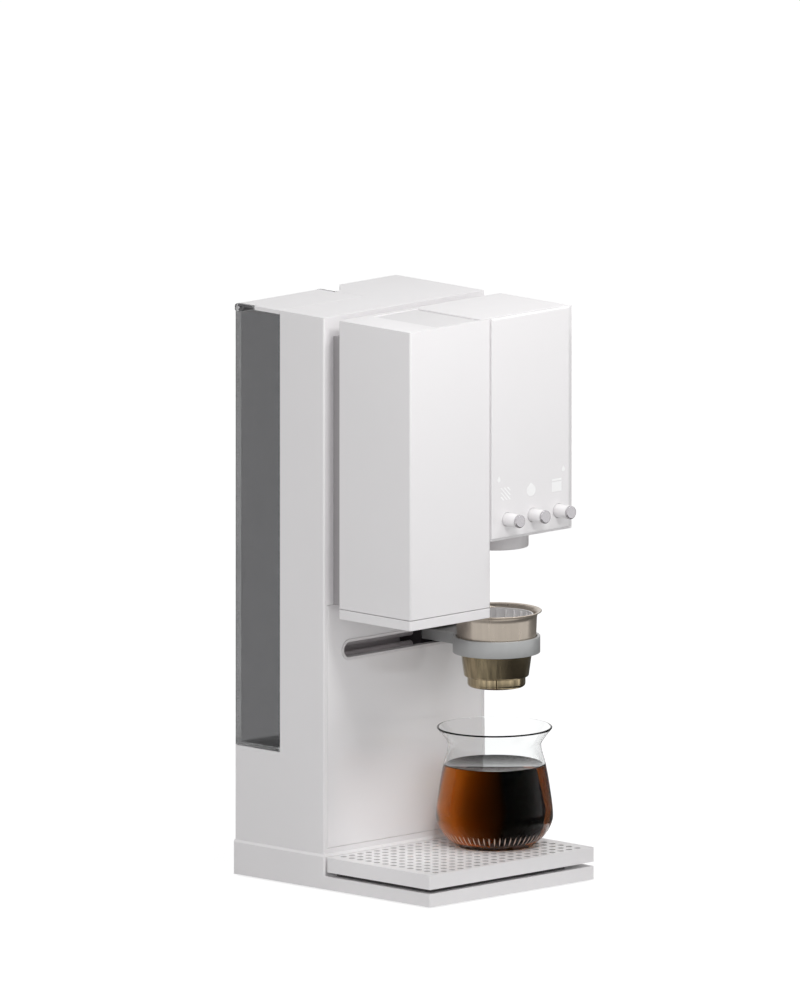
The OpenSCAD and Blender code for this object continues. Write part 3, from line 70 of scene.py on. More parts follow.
# Narrow beams into the space under the brewer: place, aim, power and width
PANEL_BEAM = (Vector((-0.552, -0.595, 0.239)), Vector((0.074, 0.031, 0.082)), 7.0, math.radians(9))
TRAY_BEAM = (Vector((-0.37, -0.48, 0.507)), Vector((-0.02, -0.01, 0.027)), 6.5, math.radians(11))
SLOT_BEAM = (Vector((-0.625, -0.595, 0.331)), Vector((0.001, 0.031, 0.174)), 0.8, math.radians(5))
BEAM_SIZE = 0.02

# Dark card on the floor round the front, darker to the right, which only polished surfaces show
FLAG_CENTRE = Vector((0.04, -0.05, 0.001))
FLAG_INNER = 0.14
FLAG_OUTER = 0.6
FLAG_STEPS = 60
FLAG_FADE = 0.3
FLAG_LEFT = 0.42
FLAG_RIGHT = 0.03

# Dark upright card to the right, which only polished surfaces show
SIDE_FLAG_X = 0.5
SIDE_FLAG_Y = (-0.3, 0.3)
SIDE_FLAG_TOP = 0.34
SIDE_FLAG_LEVEL = 0.12

# Card behind the carafe, white to the right, with a flat part on the tray whose corners are in millimetres.
# It shows only through the coffee, to rays that went through so many clear walls
BACKING_Y = 0.03
BACKING_X = (0.078, 0.19)
BACKING_TOP = 0.068
BACKING_WALLS = 5
BACKING_FADE = (0.113, 0.155)
TRAY_CARD = ((53, 1), (81, 30), (115, -4), (87, -33))
TRAY_CARD_ABOVE = 1 * MM

# Floor: what it reflects to other surfaces and to the eye, its own glow to the eye, and half its width
FLOOR_ALBEDO = 0.8
FLOOR_SEEN_ALBEDO = 0.4
FLOOR_GLOW = 0.84
FLOOR_HALF = 4.0

# Steps round a turned piece
LATHE_STEPS = 384

# Carafe in millimetres: side from foot to lip and hollow underside, as radius and height, and its glass
CARAFE_SIDE = (
    (28.5, 0), (37.0, 7.4), (42.4, 16.5), (43.6, 25.2), (41.2, 44.5),
    (38.2, 61.1), (34.9, 73.9), (35.9, 79.2), (42.9, 88.5),
)
CARAFE_UNDER = ((0.0, 1.4), (12.0, 1.2), (24.0, 0.6), (26.5, 0.0))
CARAFE_STEPS = 8
LIP_STEPS = 6
GLASS_WALL = 1.5
GLASS_FLOOR = 3.6
FLOOR_EDGE = 1.5
FLOOR_EDGE_RISE = 0.4

# Coffee in millimetres: level at the glass, overlap with it, and curved edge as steps inward and down
COFFEE_LEVEL = 61.8
COFFEE_SINK = 0.25
COFFEE_EDGE = ((0.2, 0.0), (1.2, 0.5))
COFFEE_DIP = 0.6

# Ribs in the foot of the carafe, in millimetres: heights of their ends, width, and depth in the glass
RIB_COUNT = 60
RIB_LOW = 4.0
RIB_HIGH = 13.0
RIB_WIDTH = 1.0
RIB_SINK = 0.3
RIB_DEEP = 0.7

# Dripper in millimetres: thin cup with its step and flared rim, and the base under it with its slit.
# A flare has the radius of its middle, its width and its rise
DRIPPER_BORE = 5.0
CUP_FOOT = 22.9
CUP_FOOT_ROUND = 1.4
CUP_SHOULDER = ((26.9, 20.4), (27.2, 20.7), (29.0, 20.7), (29.3, 21.0))
CUP_FLARE_HEIGHT = 43.8
CUP_FLARE_OUTSIDE = (33.5, 3.3, 5.0)
CUP_FLARE_INSIDE = (33.4, 4.4, 6.0)
FLARE_STEPS = 10
CUP_RIM = 33.4
CUP_RIM_HEIGHT = 49.3
CUP_RIM_ROUND = 0.5
CUP_INSIDE = ((28.1, 21.9), (25.8, 21.9), (23.1, 1.2), (DRIPPER_BORE, 1.2))
BASE_FOOT = 19.1
BASE_FOOT_ROUND = 2.6
BASE_HEIGHT = 7.8
SLIT_DEPTH = 1.2
SLIT_FROM = 20
SLIT_TURN = 0.625

# Height in the cup in millimetres below which its steel is painted darker, as painted reflection of the dark
# below it
CUP_STEP = 20.5

# Signs above the knobs, and small marks to both sides above them
SIGN_PROUD = 0.08 * MM
SIGN_LEFT = 1.6 * MM
SIGN_ABOVE_KNOB = 19.6 * MM
MARK_ABOVE_KNOB = 31.3 * MM
MARK_OUT = 33.9 * MM

# Tray cover: rim without holes, and how little the faces of a hole's wall look up
RIM_WIDTH = 3 * MM
WALL_LOOKS_UP = 0.5

# Softened edges of the moulded and machined pieces, by their width
SOFT_EDGES = {
    1.0 * MM: ["base_plate"],
    1.2 * MM: ["knob_cap_left", "knob_cap_center", "knob_cap_right"],
    0.5 * MM: ["column_shell", "grinder_housing", "grinder_bottom_band", "brewer_housing"],
    0.35 * MM: ["tank_lid", "hopper_lid", "brewer_bottom_plate", "nozzle_collar", "dripper_arm"],
    0.3 * MM: ["knob_left", "knob_center", "knob_right", "slot_bezel", "control_panel", "column_front_panel"],
}
SOFT_STEPS = 3
SHARPEST = math.radians(35)
FLATTEST = math.radians(0.5)
WELD_REACH = 0.002 * MM

# Share of its gloss that the glass and the coffee keep
GLASS_GLOSS = 0.02

# Values between which most of a noise lies
NOISE_LOW = 0.3
NOISE_HIGH = 0.7

# Colours


def srgb(red, green, blue):
    """Linear colour of sRGB values from 0 to 255."""
    shares = [c / 255 for c in (red, green, blue)]
    linear = [((c + 0.055) / 1.055) ** 2.4 if c > 0.04045 else c / 12.92 for c in shares]
    return (*linear, 1.0)


def darker(colour, share):
    return (*(c * share for c in colour[:3]), 1.0)


def grey(level):
    return (level, level, level, 1.0)


# Shader nodes


def add(tree, kind, values=None, **settings):
    """A shader node of that kind, with its settings and the values of its sockets."""
    made = tree.nodes.new("ShaderNode" + kind)
    for key, value in settings.items():
        setattr(made, key, value)
    for key, value in (values or {}).items():
        made.inputs[key].default_value = value
    return made


def blank(name, **values):
    """A new material with one Principled shader: the material, its tree and the shader."""
    material = bpy.data.materials.new(name)
    material.use_nodes = True
    tree = material.node_tree
    shader = next(n for n in tree.nodes if n.type == "BSDF_PRINCIPLED")
    for key, value in values.items():
        shader.inputs[key.replace("_", " ")].default_value = value
    return material, tree, shader


def bare(name):
    """A new material without nodes, and its tree."""
    material = bpy.data.materials.new(name)
    material.use_nodes = True
    material.node_tree.nodes.clear()
    return material, material.node_tree


def show(tree, shader):
    """The shader becomes the surface of its material."""
    tree.links.new(shader.outputs[0], add(tree, "OutputMaterial").inputs["Surface"])


def space(tree, stretch=(1, 1, 1), source="Object", move=(0, 0, 0)):
    """Texture coordinates of the piece, stretched and then moved."""
    coords = add(tree, "TexCoord")
    mapping = add(tree, "Mapping", {"Scale": stretch, "Location": move})
    tree.links.new(coords.outputs[source], mapping.inputs["Vector"])
    return mapping.outputs["Vector"]


def noise(tree, vector, size, detail=2.0):
    """Noise whose spots are about size metres across."""
    made = add(tree, "TexNoise", {"Scale": 1 / size, "Detail": detail})
    tree.links.new(vector, made.inputs["Vector"])
    return made.outputs["Fac"]


def spread(tree, factor, low, high):
    """A value that runs from low to high as the noise does."""
    made = add(tree, "MapRange", {
        "From Min": NOISE_LOW, "From Max": NOISE_HIGH, "To Min": low, "To Max": high,
    })
    tree.links.new(factor, made.inputs["Value"])
    return made.outputs["Result"]


def mottle(tree, shader, factor, colour, share):
    """Base colour between the colour and a darker share of it."""
    mix = add(tree, "Mix", {6: colour, 7: darker(colour, share)}, data_type="RGBA")
    tree.links.new(factor, mix.inputs[0])
    tree.links.new(mix.outputs[2], shader.inputs["Base Color"])


def roughen(tree, shader, factor, roughness, less, more):
    """Roughness that runs from less than its value to more, as the noise does."""
    level = spread(tree, factor, roughness - less, roughness + more)
    tree.links.new(level, shader.inputs["Roughness"])


def bump(tree, shader, height, depth):
    made = add(tree, "Bump", {"Strength": 1.0, "Distance": depth})
    tree.links.new(height, made.inputs["Height"])
    tree.links.new(made.outputs["Normal"], shader.inputs["Normal"])


# Materials


def plastic(name, colour, roughness, depth=0.006 * MM, **values):
    """Moulded plastic: faint clouds in its colour and gloss, and a fine spark-eroded grain."""
    material, tree, shader = blank(name, **values)
    vector = space(tree)
    mottle(tree, shader, noise(tree, vector, size=60 * MM), colour, share=0.975)
    handled = noise(tree, vector, size=18 * MM, detail=4.0)
    roughen(tree, shader, handled, roughness, less=0.04, more=0.04)
    bump(tree, shader, noise(tree, vector, size=0.5 * MM, detail=3.0), depth)
    return material


def metal(name, colour, roughness, stretch):
    """Metal with fine lines along the way it was brushed or turned."""
    material, tree, shader = blank(name, Metallic=1.0)
    lines = noise(tree, space(tree, stretch), size=0.25 * MM, detail=3.0)
    mottle(tree, shader, lines, colour, share=0.93)
    roughen(tree, shader, lines, roughness, less=0.05, more=0.06)
    bump(tree, shader, lines, depth=0.002 * MM)
    return material


def streaked_metal(name, colour, roughness, metallic, streak):
    """Spun sheet with streaks up its side, which break up what it mirrors. The streaks also darken its colour
    by the given share: faint ones are its own tone, strong ones are painted reflection of dark lines round
    it.
    """
    material, tree, shader = blank(name, Metallic=metallic)
    vector = space(tree, stretch=(1, 1, 0.03))
    fine = noise(tree, vector, size=2.5 * MM)
    mottle(tree, shader, spread(tree, fine, 0, 1), colour, share=streak)
    roughen(tree, shader, fine, roughness, less=0.03, more=0.03)
    bump(tree, shader, noise(tree, vector, size=5 * MM, detail=1.0), depth=0.1 * MM)
    return material


def turned_metal(name, colour, roughness):
    """The face of a knob's cap, turned in fine rings round its axis."""
    material, tree, shader = blank(name, Metallic=1.0)
    vector = space(tree, source="Generated", move=(-0.5, -0.5, -0.5))
    wave = add(tree, "TexWave", {"Scale": 9.0, "Distortion": 0.4}, wave_type="RINGS", rings_direction="Y")
    tree.links.new(vector, wave.inputs["Vector"])
    rings = wave.outputs["Fac"]
    mottle(tree, shader, rings, colour, share=0.94)
    roughen(tree, shader, rings, roughness, less=0.05, more=0.05)
    bump(tree, shader, rings, depth=0.004 * MM)
    return material


def clear(name, colour, roughness, refraction, ripple, gloss):
    """See-through plastic or glass with a faint ripple and a little haze."""
    material, tree, shader = blank(name, Transmission_Weight=1.0, IOR=refraction, Specular_Tint=grey(gloss))
    vector = space(tree)
    haze = noise(tree, vector, size=25 * MM, detail=3.0)
    mottle(tree, shader, haze, colour, share=0.985)
    roughen(tree, shader, haze, roughness, less=roughness / 2, more=roughness / 2)
    bump(tree, shader, noise(tree, vector, size=30 * MM), depth=ripple)
    return material


def brewed_coffee():
    """Coffee: clear, and so dark that only its edges let light through."""
    material, tree, shader = blank(
        "brewed_coffee", Transmission_Weight=1.0, IOR=1.33, Roughness=0.0, Specular_Tint=grey(GLASS_GLOSS),
    )
    vector = space(tree)
    mottle(tree, shader, noise(tree, vector, size=30 * MM), srgb(255, 250, 244), share=0.97)
    bump(tree, shader, noise(tree, vector, size=40 * MM), depth=0.01 * MM)
    absorption = add(tree, "VolumeAbsorption", {"Color": srgb(244, 231, 0), "Density": 215.0})
    output = next(n for n in tree.nodes if n.type == "OUTPUT_MATERIAL")
    tree.links.new(absorption.outputs["Volume"], output.inputs["Volume"])
    return material


def circuit_board():
    """Green solder mask with a faint grid of tracks under it."""
    material, tree, shader = blank("circuit_board", Roughness=0.35)
    tracks = add(tree, "TexBrick", {
        "Color1": srgb(38, 92, 62),
        "Color2": srgb(32, 82, 54),
        "Mortar": srgb(74, 128, 88),
        "Scale": 180.0,
        "Mortar Size": 0.03,
    })
    tree.links.new(space(tree), tracks.inputs["Vector"])
    tree.links.new(tracks.outputs["Color"], shader.inputs["Base Color"])
    bump(tree, shader, tracks.outputs["Fac"], depth=0.02 * MM)
    return material


def icon_light():
    """White light that shines through the panel."""
    white = srgb(255, 255, 255)
    material, tree, shader = blank("icon_light", Emission_Strength=0.05, Emission_Color=white)
    mottle(tree, shader, noise(tree, space(tree), size=3 * MM), srgb(250, 250, 250), share=0.97)
    return material


FINISHES = {
    "white_plastic": plastic("white_plastic", srgb(242, 240, 241), 0.4),
    "gloss_white": plastic("gloss_white", srgb(242, 240, 241), 0.16, depth=0.002 * MM, Coat_Weight=0.2),
    "pale_plastic": plastic("pale_plastic", srgb(226, 223, 224), 0.38),
    "insert_plastic": plastic("insert_plastic", srgb(240, 238, 238), 0.45),
    "dark_plastic": plastic("dark_plastic", srgb(62, 58, 61), 0.5, depth=0.012 * MM),
    "smoked_plastic": clear(
        "smoked_plastic", srgb(161, 161, 162), 0.1, refraction=1.214, ripple=0.002 * MM, gloss=0.6,
    ),
    "aluminium": plastic("aluminium", srgb(180, 181, 181), 0.4, Metallic=0.35),
    "champagne_steel": streaked_metal(
        "champagne_steel", srgb(198, 187, 174), 0.3, metallic=0.75, streak=0.95,
    ),
    "steel": metal("steel", srgb(178, 178, 180), 0.28, stretch=(1, 8, 1)),
    "black_steel": metal("black_steel", srgb(52, 50, 52), 0.4, stretch=(12, 1, 1)),
    "rubber": plastic("rubber", srgb(50, 49, 50), 0.75, depth=0.02 * MM),
    "hose_silicone": plastic("hose_silicone", srgb(214, 214, 210), 0.5),
    "circuit_board": circuit_board(),
    "glass": clear(
        "glass", srgb(252, 253, 253), 0.004, refraction=1.47, ripple=0.004 * MM, gloss=GLASS_GLOSS,
    ),
}
CAP_FACE = turned_metal("cap_face", srgb(200, 197, 200), 0.22)
# Hopper lid in a darker white: painted shade, for the shadow in the shallow recess round the lid
LID_PAINTED_SHADE = plastic("lid_painted_shade", srgb(228, 226, 227), 0.4)
# Grey for the white neck: painted shade, for the shadow in the narrow gap between the column and the blocks
NECK_PAINTED_SHADE = plastic("neck_painted_shade", srgb(176, 173, 175), 0.45)
# Light grey inside the slot: painted light, so that the shaded inside looks lit and the rods mirror no dark
RAIL_PAINTED_LIGHT = plastic("rail_painted_light", srgb(226, 220, 223), 0.5)
# Darker, strongly streaked copy of the cup's steel for the lower cup and the dripper base: painted reflection
# of the dark that these lower surfaces mirror
PAINTED_REFLECTION_STEEL = streaked_metal("painted_reflection_steel", srgb(188, 171, 139), 0.2, metallic=1.0, streak=0.5)
# Pinkish pale for the ribs in the carafe's foot: painted light, for light that the fluted glass bends from
# the tray
RIB_PAINTED_LIGHT = plastic("rib_painted_light", srgb(206, 178, 164), 0.4)
# Grey for the walls of the tray's holes: painted shade, for the dark inside each hole
HOLE_PAINTED_SHADE = plastic("hole_painted_shade", srgb(202, 199, 200), 0.5)
ICON = icon_light()

# Paint on the CAD pieces


def paint(piece, material):
    piece.data.materials.clear()
    piece.data.materials.append(material)


def shade_holes():
    """The walls of the holes in the tray cover are painted grey: painted shade, for the dark inside each
    hole.
    """
    cover = NODES["drip_tray_cover"].data
    cover.materials.append(HOLE_PAINTED_SHADE)
    across = [vertex.co.x for vertex in cover.vertices]
    along = [vertex.co.y for vertex in cover.vertices]
    left, right = min(across) + RIM_WIDTH, max(across) - RIM_WIDTH
    front, back = min(along) + RIM_WIDTH, max(along) - RIM_WIDTH
    for face in cover.polygons:
        within = left < face.center.x < right and front < face.center.y < back
        face.material_index = int(within and abs(face.normal.z) < WALL_LOOKS_UP)


for part in frame["record"]["subparts"]:
    paint(NODES[part["node"]], FINISHES[part["material_slot"]])
for side in ("left", "center", "right"):
    paint(NODES["knob_cap_" + side], CAP_FACE)
# The hopper lid in its darker white, as painted shade
paint(NODES["hopper_lid"], LID_PAINTED_SHADE)
# The neck in painted shade
paint(NODES["neck_frame"], NECK_PAINTED_SHADE)
# Rail housing, guide rods and lead screw in painted light instead of their dark plastic and steel
for name in ("arm_rail_housing", "guide_rods", "lead_screw"):
    paint(NODES[name], RAIL_PAINTED_LIGHT)
shade_holes()

# Edges of the moulded and machined pieces


def soften(piece, width):
    """Rounds the sharp edges of a CAD piece, with its flat faces made whole first."""
    weld = piece.modifiers.new("weld", "WELD")
    weld.merge_threshold = WELD_REACH
    whole = piece.modifiers.new("whole", "DECIMATE")
    whole.decimate_type = "DISSOLVE"
    whole.angle_limit = FLATTEST
    edge = piece.modifiers.new("edge", "BEVEL")
    edge.width = width
    edge.segments = SOFT_STEPS
    edge.limit_method = "ANGLE"
    edge.angle_limit = SHARPEST
    edge.harden_normals = True


for width, names in SOFT_EDGES.items():
    for name in names:
        soften(NODES[name], width)

# Outlines, as points of radius and height


def corners(places):
    return [Vector(place) for place in places]


def curve(points, steps):
    """The smooth curve through the points."""
    out = []
    last = len(points) - 1
    for i in range(last):
        around = (max(i - 1, 0), i, i + 1, min(i + 2, last))
        before, here, there, after = (Vector(points[k]) for k in around)
        for k in range(steps):
            t = k / steps
            bend = 2 * before - 5 * here + 4 * there - after
            twist = 3 * (here - there) + after - before
            out.append(here + (t * (there - before) + t * t * bend + t**3 * twist) / 2)
    return out + [Vector(points[last])]


def shifted(points, distance):
    """The outline moved sideways by a distance, to its left."""
    out = []
    for i, point in enumerate(points):
        along = points[min(i + 1, len(points) - 1)] - points[max(i - 1, 0)]
        side = Vector((-along.y, along.x)).normalized()
        out.append(point + side * distance)
    return out


def arc(centre, radius, start, end, steps):
    """Points on a round stretch, with its angles in degrees."""
    angles = [math.radians(start + (end - start) * k / steps) for k in range(steps + 1)]
    return [Vector((centre[0] + radius * math.cos(a), centre[1] + radius * math.sin(a))) for a in angles]


def flared(radius, width, rise):
    """A quarter of an oval at the height of the flare, which starts upright and ends level."""
    angles = [math.radians(90 * k / FLARE_STEPS) for k in range(FLARE_STEPS + 1)]
    return [Vector((radius - width * math.cos(a), CUP_FLARE_HEIGHT + rise * math.sin(a))) for a in angles]


# Meshes


def turns(count):
    """Angles all round in equal steps."""
    return [2 * math.pi * k / count for k in range(count)]


def bridge(mesh, low, high):
    """Faces between two rings of corners, where a ring of one corner is a tip."""
    count = max(len(low), len(high))
    if count == 1:
        return
    for k in range(count):
        after = (k + 1) % count
        face = [low[k % len(low)], low[after % len(low)], high[after % len(high)], high[k % len(high)]]
        mesh.faces.new(list(dict.fromkeys(face)))


def put(name, mesh):
    """The mesh becomes an object of the scene."""
    data = bpy.data.meshes.new(name)
    mesh.to_mesh(data)
    mesh.free()
    piece = bpy.data.objects.new(name, data)
    bpy.context.scene.collection.objects.link(piece)
    return piece


def lathe(name, outline, centre, base, ripple=None):
    """A closed turned piece from its outline of radius and height in millimetres."""
    mesh = bmesh.new()
    rings = []
    for radius, height in outline:
        if radius == 0:
            rings.append([mesh.verts.new((centre.x, centre.y, base + height * MM))])
            continue
        ring = []
        for angle in turns(LATHE_STEPS):
            out, rise = ripple(radius, height, angle) if ripple else (radius, height)
            x = centre.x + out * MM * math.cos(angle)
            y = centre.y + out * MM * math.sin(angle)
            ring.append(mesh.verts.new((x, y, base + rise * MM)))
        rings.append(ring)
    for low, high in zip(rings, rings[1:] + rings[:1]):
        bridge(mesh, low, high)
    bmesh.ops.recalc_face_normals(mesh, faces=mesh.faces)
    piece = put(name, mesh)
    piece.data.shade_smooth()
    return piece


def middle(name):
    """Middle and lowest corner of the box of a CAD piece."""
    low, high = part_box(name)
    return (low + high) / 2, low


# Carafe with coffee


def make_ribs(side, centre, base):
    """Opaque pale crests in the lower side of the glass, pointed at both ends. Their pale colour is painted
    light, for the light that the fluted glass bends up from the tray.
    """
    mesh = bmesh.new()
    track = [p for p in shifted(side, RIB_SINK) if RIB_LOW < p.y < RIB_HIGH]
    last = len(track) - 1
    for k in range(RIB_COUNT):
        angle = 2 * math.pi * (k + 0.5) / RIB_COUNT
        outward = Vector((math.cos(angle), math.sin(angle), 0))
        along = Vector((-math.sin(angle), math.cos(angle), 0))
        rows = []
        for i, point in enumerate(track):
            crest = Vector((centre.x, centre.y, base + point.y * MM)) + outward * point.x * MM
            half = along * RIB_WIDTH / 2 * math.sin(math.pi * i / last) * MM
            root = crest - outward * RIB_DEEP * MM
            row = [crest] if i in (0, last) else [crest - half, crest + half, root]
            rows.append([mesh.verts.new(corner) for corner in row])
        for low, high in zip(rows, rows[1:]):
            bridge(mesh, low, high)
    bmesh.ops.recalc_face_normals(mesh, faces=mesh.faces)
    ribs = put("carafe_ribs", mesh)
    # The ribs in painted light
    paint(ribs, RIB_PAINTED_LIGHT)
    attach(ribs, "carafe")


def make_carafe():
    """The glass with its rounded lip, the coffee that fills it from wall to wall, and the ribs."""
    centre, low = middle("carafe")
    side = curve(CARAFE_SIDE, CARAFE_STEPS)
    inner = [p for p in shifted(side, GLASS_WALL) if p.y > GLASS_FLOOR + FLOOR_EDGE]
    lip = (side[-1] + inner[-1]) / 2
    turn = math.degrees(math.atan2(side[-1].y - lip.y, side[-1].x - lip.x))
    rim = arc(lip, GLASS_WALL / 2, turn, turn + 180, LIP_STEPS)[1:-1]
    foot = inner[0].x - 2 * FLOOR_EDGE
    edge = (foot + FLOOR_EDGE, GLASS_FLOOR + FLOOR_EDGE_RISE)
    floor = corners([edge, (foot, GLASS_FLOOR), (0.0, GLASS_FLOOR)])
    outline = corners(CARAFE_UNDER) + side + rim + inner[::-1] + floor
    glass = lathe("carafe_glass", outline, centre, low.z)
    paint(glass, FINISHES["glass"])
    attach(glass, "carafe")
    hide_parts("carafe")
    glass.visible_shadow = False
    glass.visible_diffuse = False
    wall = shifted(side, GLASS_WALL - COFFEE_SINK)
    wet = [p for p in wall if GLASS_FLOOR + FLOOR_EDGE < p.y < COFFEE_LEVEL]
    bottom = corners([(0.0, GLASS_FLOOR - COFFEE_SINK), (foot, GLASS_FLOOR - COFFEE_SINK)])
    level = corners([(wet[-1].x - inward, COFFEE_LEVEL - down) for inward, down in COFFEE_EDGE])
    surface = corners([(0.0, COFFEE_LEVEL - COFFEE_DIP)])
    coffee = lathe("coffee", bottom + wet + level + surface, centre, low.z)
    paint(coffee, brewed_coffee())
    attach(coffee, "carafe")
    make_ribs(side, centre, low.z)


make_carafe()

# Dripper


def dress(piece, body, node, slot):
    """The piece stands for a CAD node, in the finish of that slot."""
    paint(piece, FINISHES[slot])
    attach(piece, body)
    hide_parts(node)


def slit(radius, height, angle):
    """A narrow groove up the side that faces the front left corner."""
    facing = round(angle / (2 * math.pi) * LATHE_STEPS) == round(SLIT_TURN * LATHE_STEPS)
    return radius - (SLIT_DEPTH if facing and radius > SLIT_FROM else 0), height


def make_dripper_cup():
    """The thin spun cup with its flared rim, painted darker below its step as painted reflection of the dark
    it mirrors there.
    """
    centre, low = middle("dripper_cup")
    foot = corners([(DRIPPER_BORE, 0.0), (CUP_FOOT, 0.0)])
    foot += arc((CUP_FOOT, CUP_FOOT_ROUND), CUP_FOOT_ROUND, start=-90, end=0, steps=5)
    flare = flared(*CUP_FLARE_OUTSIDE)
    edge = arc((CUP_RIM, CUP_RIM_HEIGHT), CUP_RIM_ROUND, start=-60, end=60, steps=5)
    funnel = flared(*CUP_FLARE_INSIDE)[::-1]
    outline = foot + corners(CUP_SHOULDER) + flare + edge + funnel + corners(CUP_INSIDE)
    cup = lathe("dripper_cup_shell", outline, centre, low.z)
    cup.data.set_sharp_from_angle(angle=SHARPEST)
    dress(cup, "dripper", "dripper_cup", "champagne_steel")
    # Below the step the cup takes the darker copy of its steel, as painted reflection
    cup.data.materials.append(PAINTED_REFLECTION_STEEL)
    for face in cup.data.polygons:
        face.material_index = int(face.center.z < low.z + CUP_STEP * MM)


def make_dripper_base():
    """The base under the cup with its slit."""
    centre, low = middle("dripper_base")
    foot = corners([(DRIPPER_BORE, 0.0), (BASE_FOOT, 0.0)])
    foot += arc((BASE_FOOT, BASE_FOOT_ROUND), BASE_FOOT_ROUND, start=-80, end=0, steps=6)
    top = corners([(BASE_FOOT + BASE_FOOT_ROUND, BASE_HEIGHT), (DRIPPER_BORE, BASE_HEIGHT)])
    base = lathe("dripper_base_shell", foot + top, centre, low.z, slit)
    base.data.set_sharp_from_angle(angle=SHARPEST)
    dress(base, "dripper", "dripper_base", "champagne_steel")
    # The whole base in the darker copy of the steel, as painted reflection
    paint(base, PAINTED_REFLECTION_STEEL)


make_dripper_cup()
make_dripper_base()

# Signs on the control panel


def flat_sign(name, outlines, place):
    """Thin raised shapes on the panel, from outlines in X and Z in millimetres round a place."""
    mesh = bmesh.new()
    for outline in outlines:
        face = mesh.faces.new([
            mesh.verts.new((place.x + x * MM, place.y, place.z + z * MM)) for x, z in outline
        ])
        moved = bmesh.ops.extrude_face_region(mesh, geom=[face])["geom"]
        verts = [g for g in moved if isinstance(g, bmesh.types.BMVert)]
        bmesh.ops.translate(mesh, verts=verts, vec=(0, -SIGN_PROUD, 0))
    bmesh.ops.recalc_face_normals(mesh, faces=mesh.faces)
    piece = put(name, mesh)
    paint(piece, ICON)
    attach(piece, "root")


def rectangle(x0, z0, x1, z1):
    return [(x0, z0), (x1, z0), (x1, z1), (x0, z1)]


def drop(radius, height):
    """A drop with its point upwards."""
    round_part = arc((0, radius - height / 2), radius, start=-205, end=25, steps=24)
    return [(p.x, p.y) for p in round_part] + [(0, height / 2)]


def hatching(side, pitch, width):
    """Strokes that fall to the right across a square."""
    half = side / 2
    count = int(half / pitch)
    strokes = []
    for k in range(-count, count + 1):
        shift = k * pitch * math.sqrt(2)
        start = (max(-half, shift - half), min(half, shift + half))
        end = (min(half, shift + half), max(-half, shift - half))
        strokes.append([
            (start[0] - width / 2, start[1]), (start[0] + width / 2, start[1]),
            (end[0] + width / 2, end[1]), (end[0] - width / 2, end[1]),
        ])
    return strokes


def make_signs():
    """A sign above each knob, and a small drop to each side."""
    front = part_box("control_panel")[0].y
    knobs = [middle("knob_" + side)[0] for side in ("left", "center", "right")]
    shapes = {
        "sign_grind": hatching(side=9.6, pitch=2.4, width=1.4),
        "sign_water": [drop(radius=4.6, height=10.2)],
        "sign_program": [rectangle(-5.0, -4.8, 5.0, 2.4), rectangle(-5.0, 3.4, 5.0, 4.8)],
    }
    for knob, (name, outlines) in zip(knobs, shapes.items()):
        flat_sign(name, outlines, Vector((knob.x - SIGN_LEFT, front, knob.z + SIGN_ABOVE_KNOB)))
    centre = knobs[1]
    for name, side in (("mark_left", -1), ("mark_right", 1)):
        place = Vector((centre.x - SIGN_LEFT + side * MARK_OUT, front, centre.z + MARK_ABOVE_KNOB))
        flat_sign(name, [drop(radius=1.6, height=4.6)], place)


make_signs()

# Stage


def seen_by_eye(tree):
    """1 for rays that the eye sees directly, in gloss or through glass, and 0 for light between surfaces."""
    path = add(tree, "LightPath")
    either = add(tree, "Math", operation="MAXIMUM")
    tree.links.new(path.outputs["Is Camera Ray"], either.inputs[0])
    tree.links.new(path.outputs["Is Glossy Ray"], either.inputs[1])
    any_of = add(tree, "Math", operation="MAXIMUM")
    tree.links.new(either.outputs[0], any_of.inputs[0])
    tree.links.new(path.outputs["Is Transmission Ray"], any_of.inputs[1])
    return any_of.outputs[0]


def between(tree, factor, low, high):
    """low where the factor is 0 and high where it is 1."""
    made = add(tree, "MapRange", {"To Min": low, "To Max": high})
    tree.links.new(factor, made.inputs["Value"])
    return made.outputs["Result"]


def make_world():
    """White to the eye. Its light on the object is stronger towards some sides than others."""
    world = bpy.data.worlds.new("studio")
    world.use_nodes = True
    tree = world.node_tree
    background = next(n for n in tree.nodes if n.type == "BACKGROUND")
    background.inputs["Color"].default_value = grey(1)
    lean = add(tree, "VectorMath", {1: (SKY_TO_RIGHT, SKY_TO_BACK, 0)}, operation="DOT_PRODUCT")
    tree.links.new(add(tree, "TexCoord").outputs["Generated"], lean.inputs[0])
    level = add(tree, "Math", {1: SKY_EVEN}, operation="ADD")
    tree.links.new(lean.outputs["Value"], level.inputs[0])
    light = add(tree, "Math", {1: 0.0}, operation="MAXIMUM")
    tree.links.new(level.outputs[0], light.inputs[0])
    strength = add(tree, "MapRange", {"To Max": 1.0})
    tree.links.new(seen_by_eye(tree), strength.inputs["Value"])
    tree.links.new(light.outputs[0], strength.inputs["To Min"])
    tree.links.new(strength.outputs["Result"], background.inputs["Strength"])
    bpy.context.scene.world = world


def make_floor():
    """A pale floor that looks white to the eye, with the soft shadows on it."""
    mesh = bmesh.new()
    bmesh.ops.create_grid(mesh, x_segments=1, y_segments=1, size=FLOOR_HALF)
    floor = put("floor", mesh)
    material, tree = bare("floor")
    seen = seen_by_eye(tree)
    matt = add(tree, "BsdfDiffuse")
    tree.links.new(between(tree, seen, FLOOR_ALBEDO, FLOOR_SEEN_ALBEDO), matt.inputs["Color"])
    glow = add(tree, "Emission")
    tree.links.new(between(tree, seen, 0.0, FLOOR_GLOW), glow.inputs["Strength"])
    both = add(tree, "AddShader")
    tree.links.new(matt.outputs[0], both.inputs[0])
    tree.links.new(glow.outputs[0], both.inputs[1])
    show(tree, both)
    paint(floor, material)


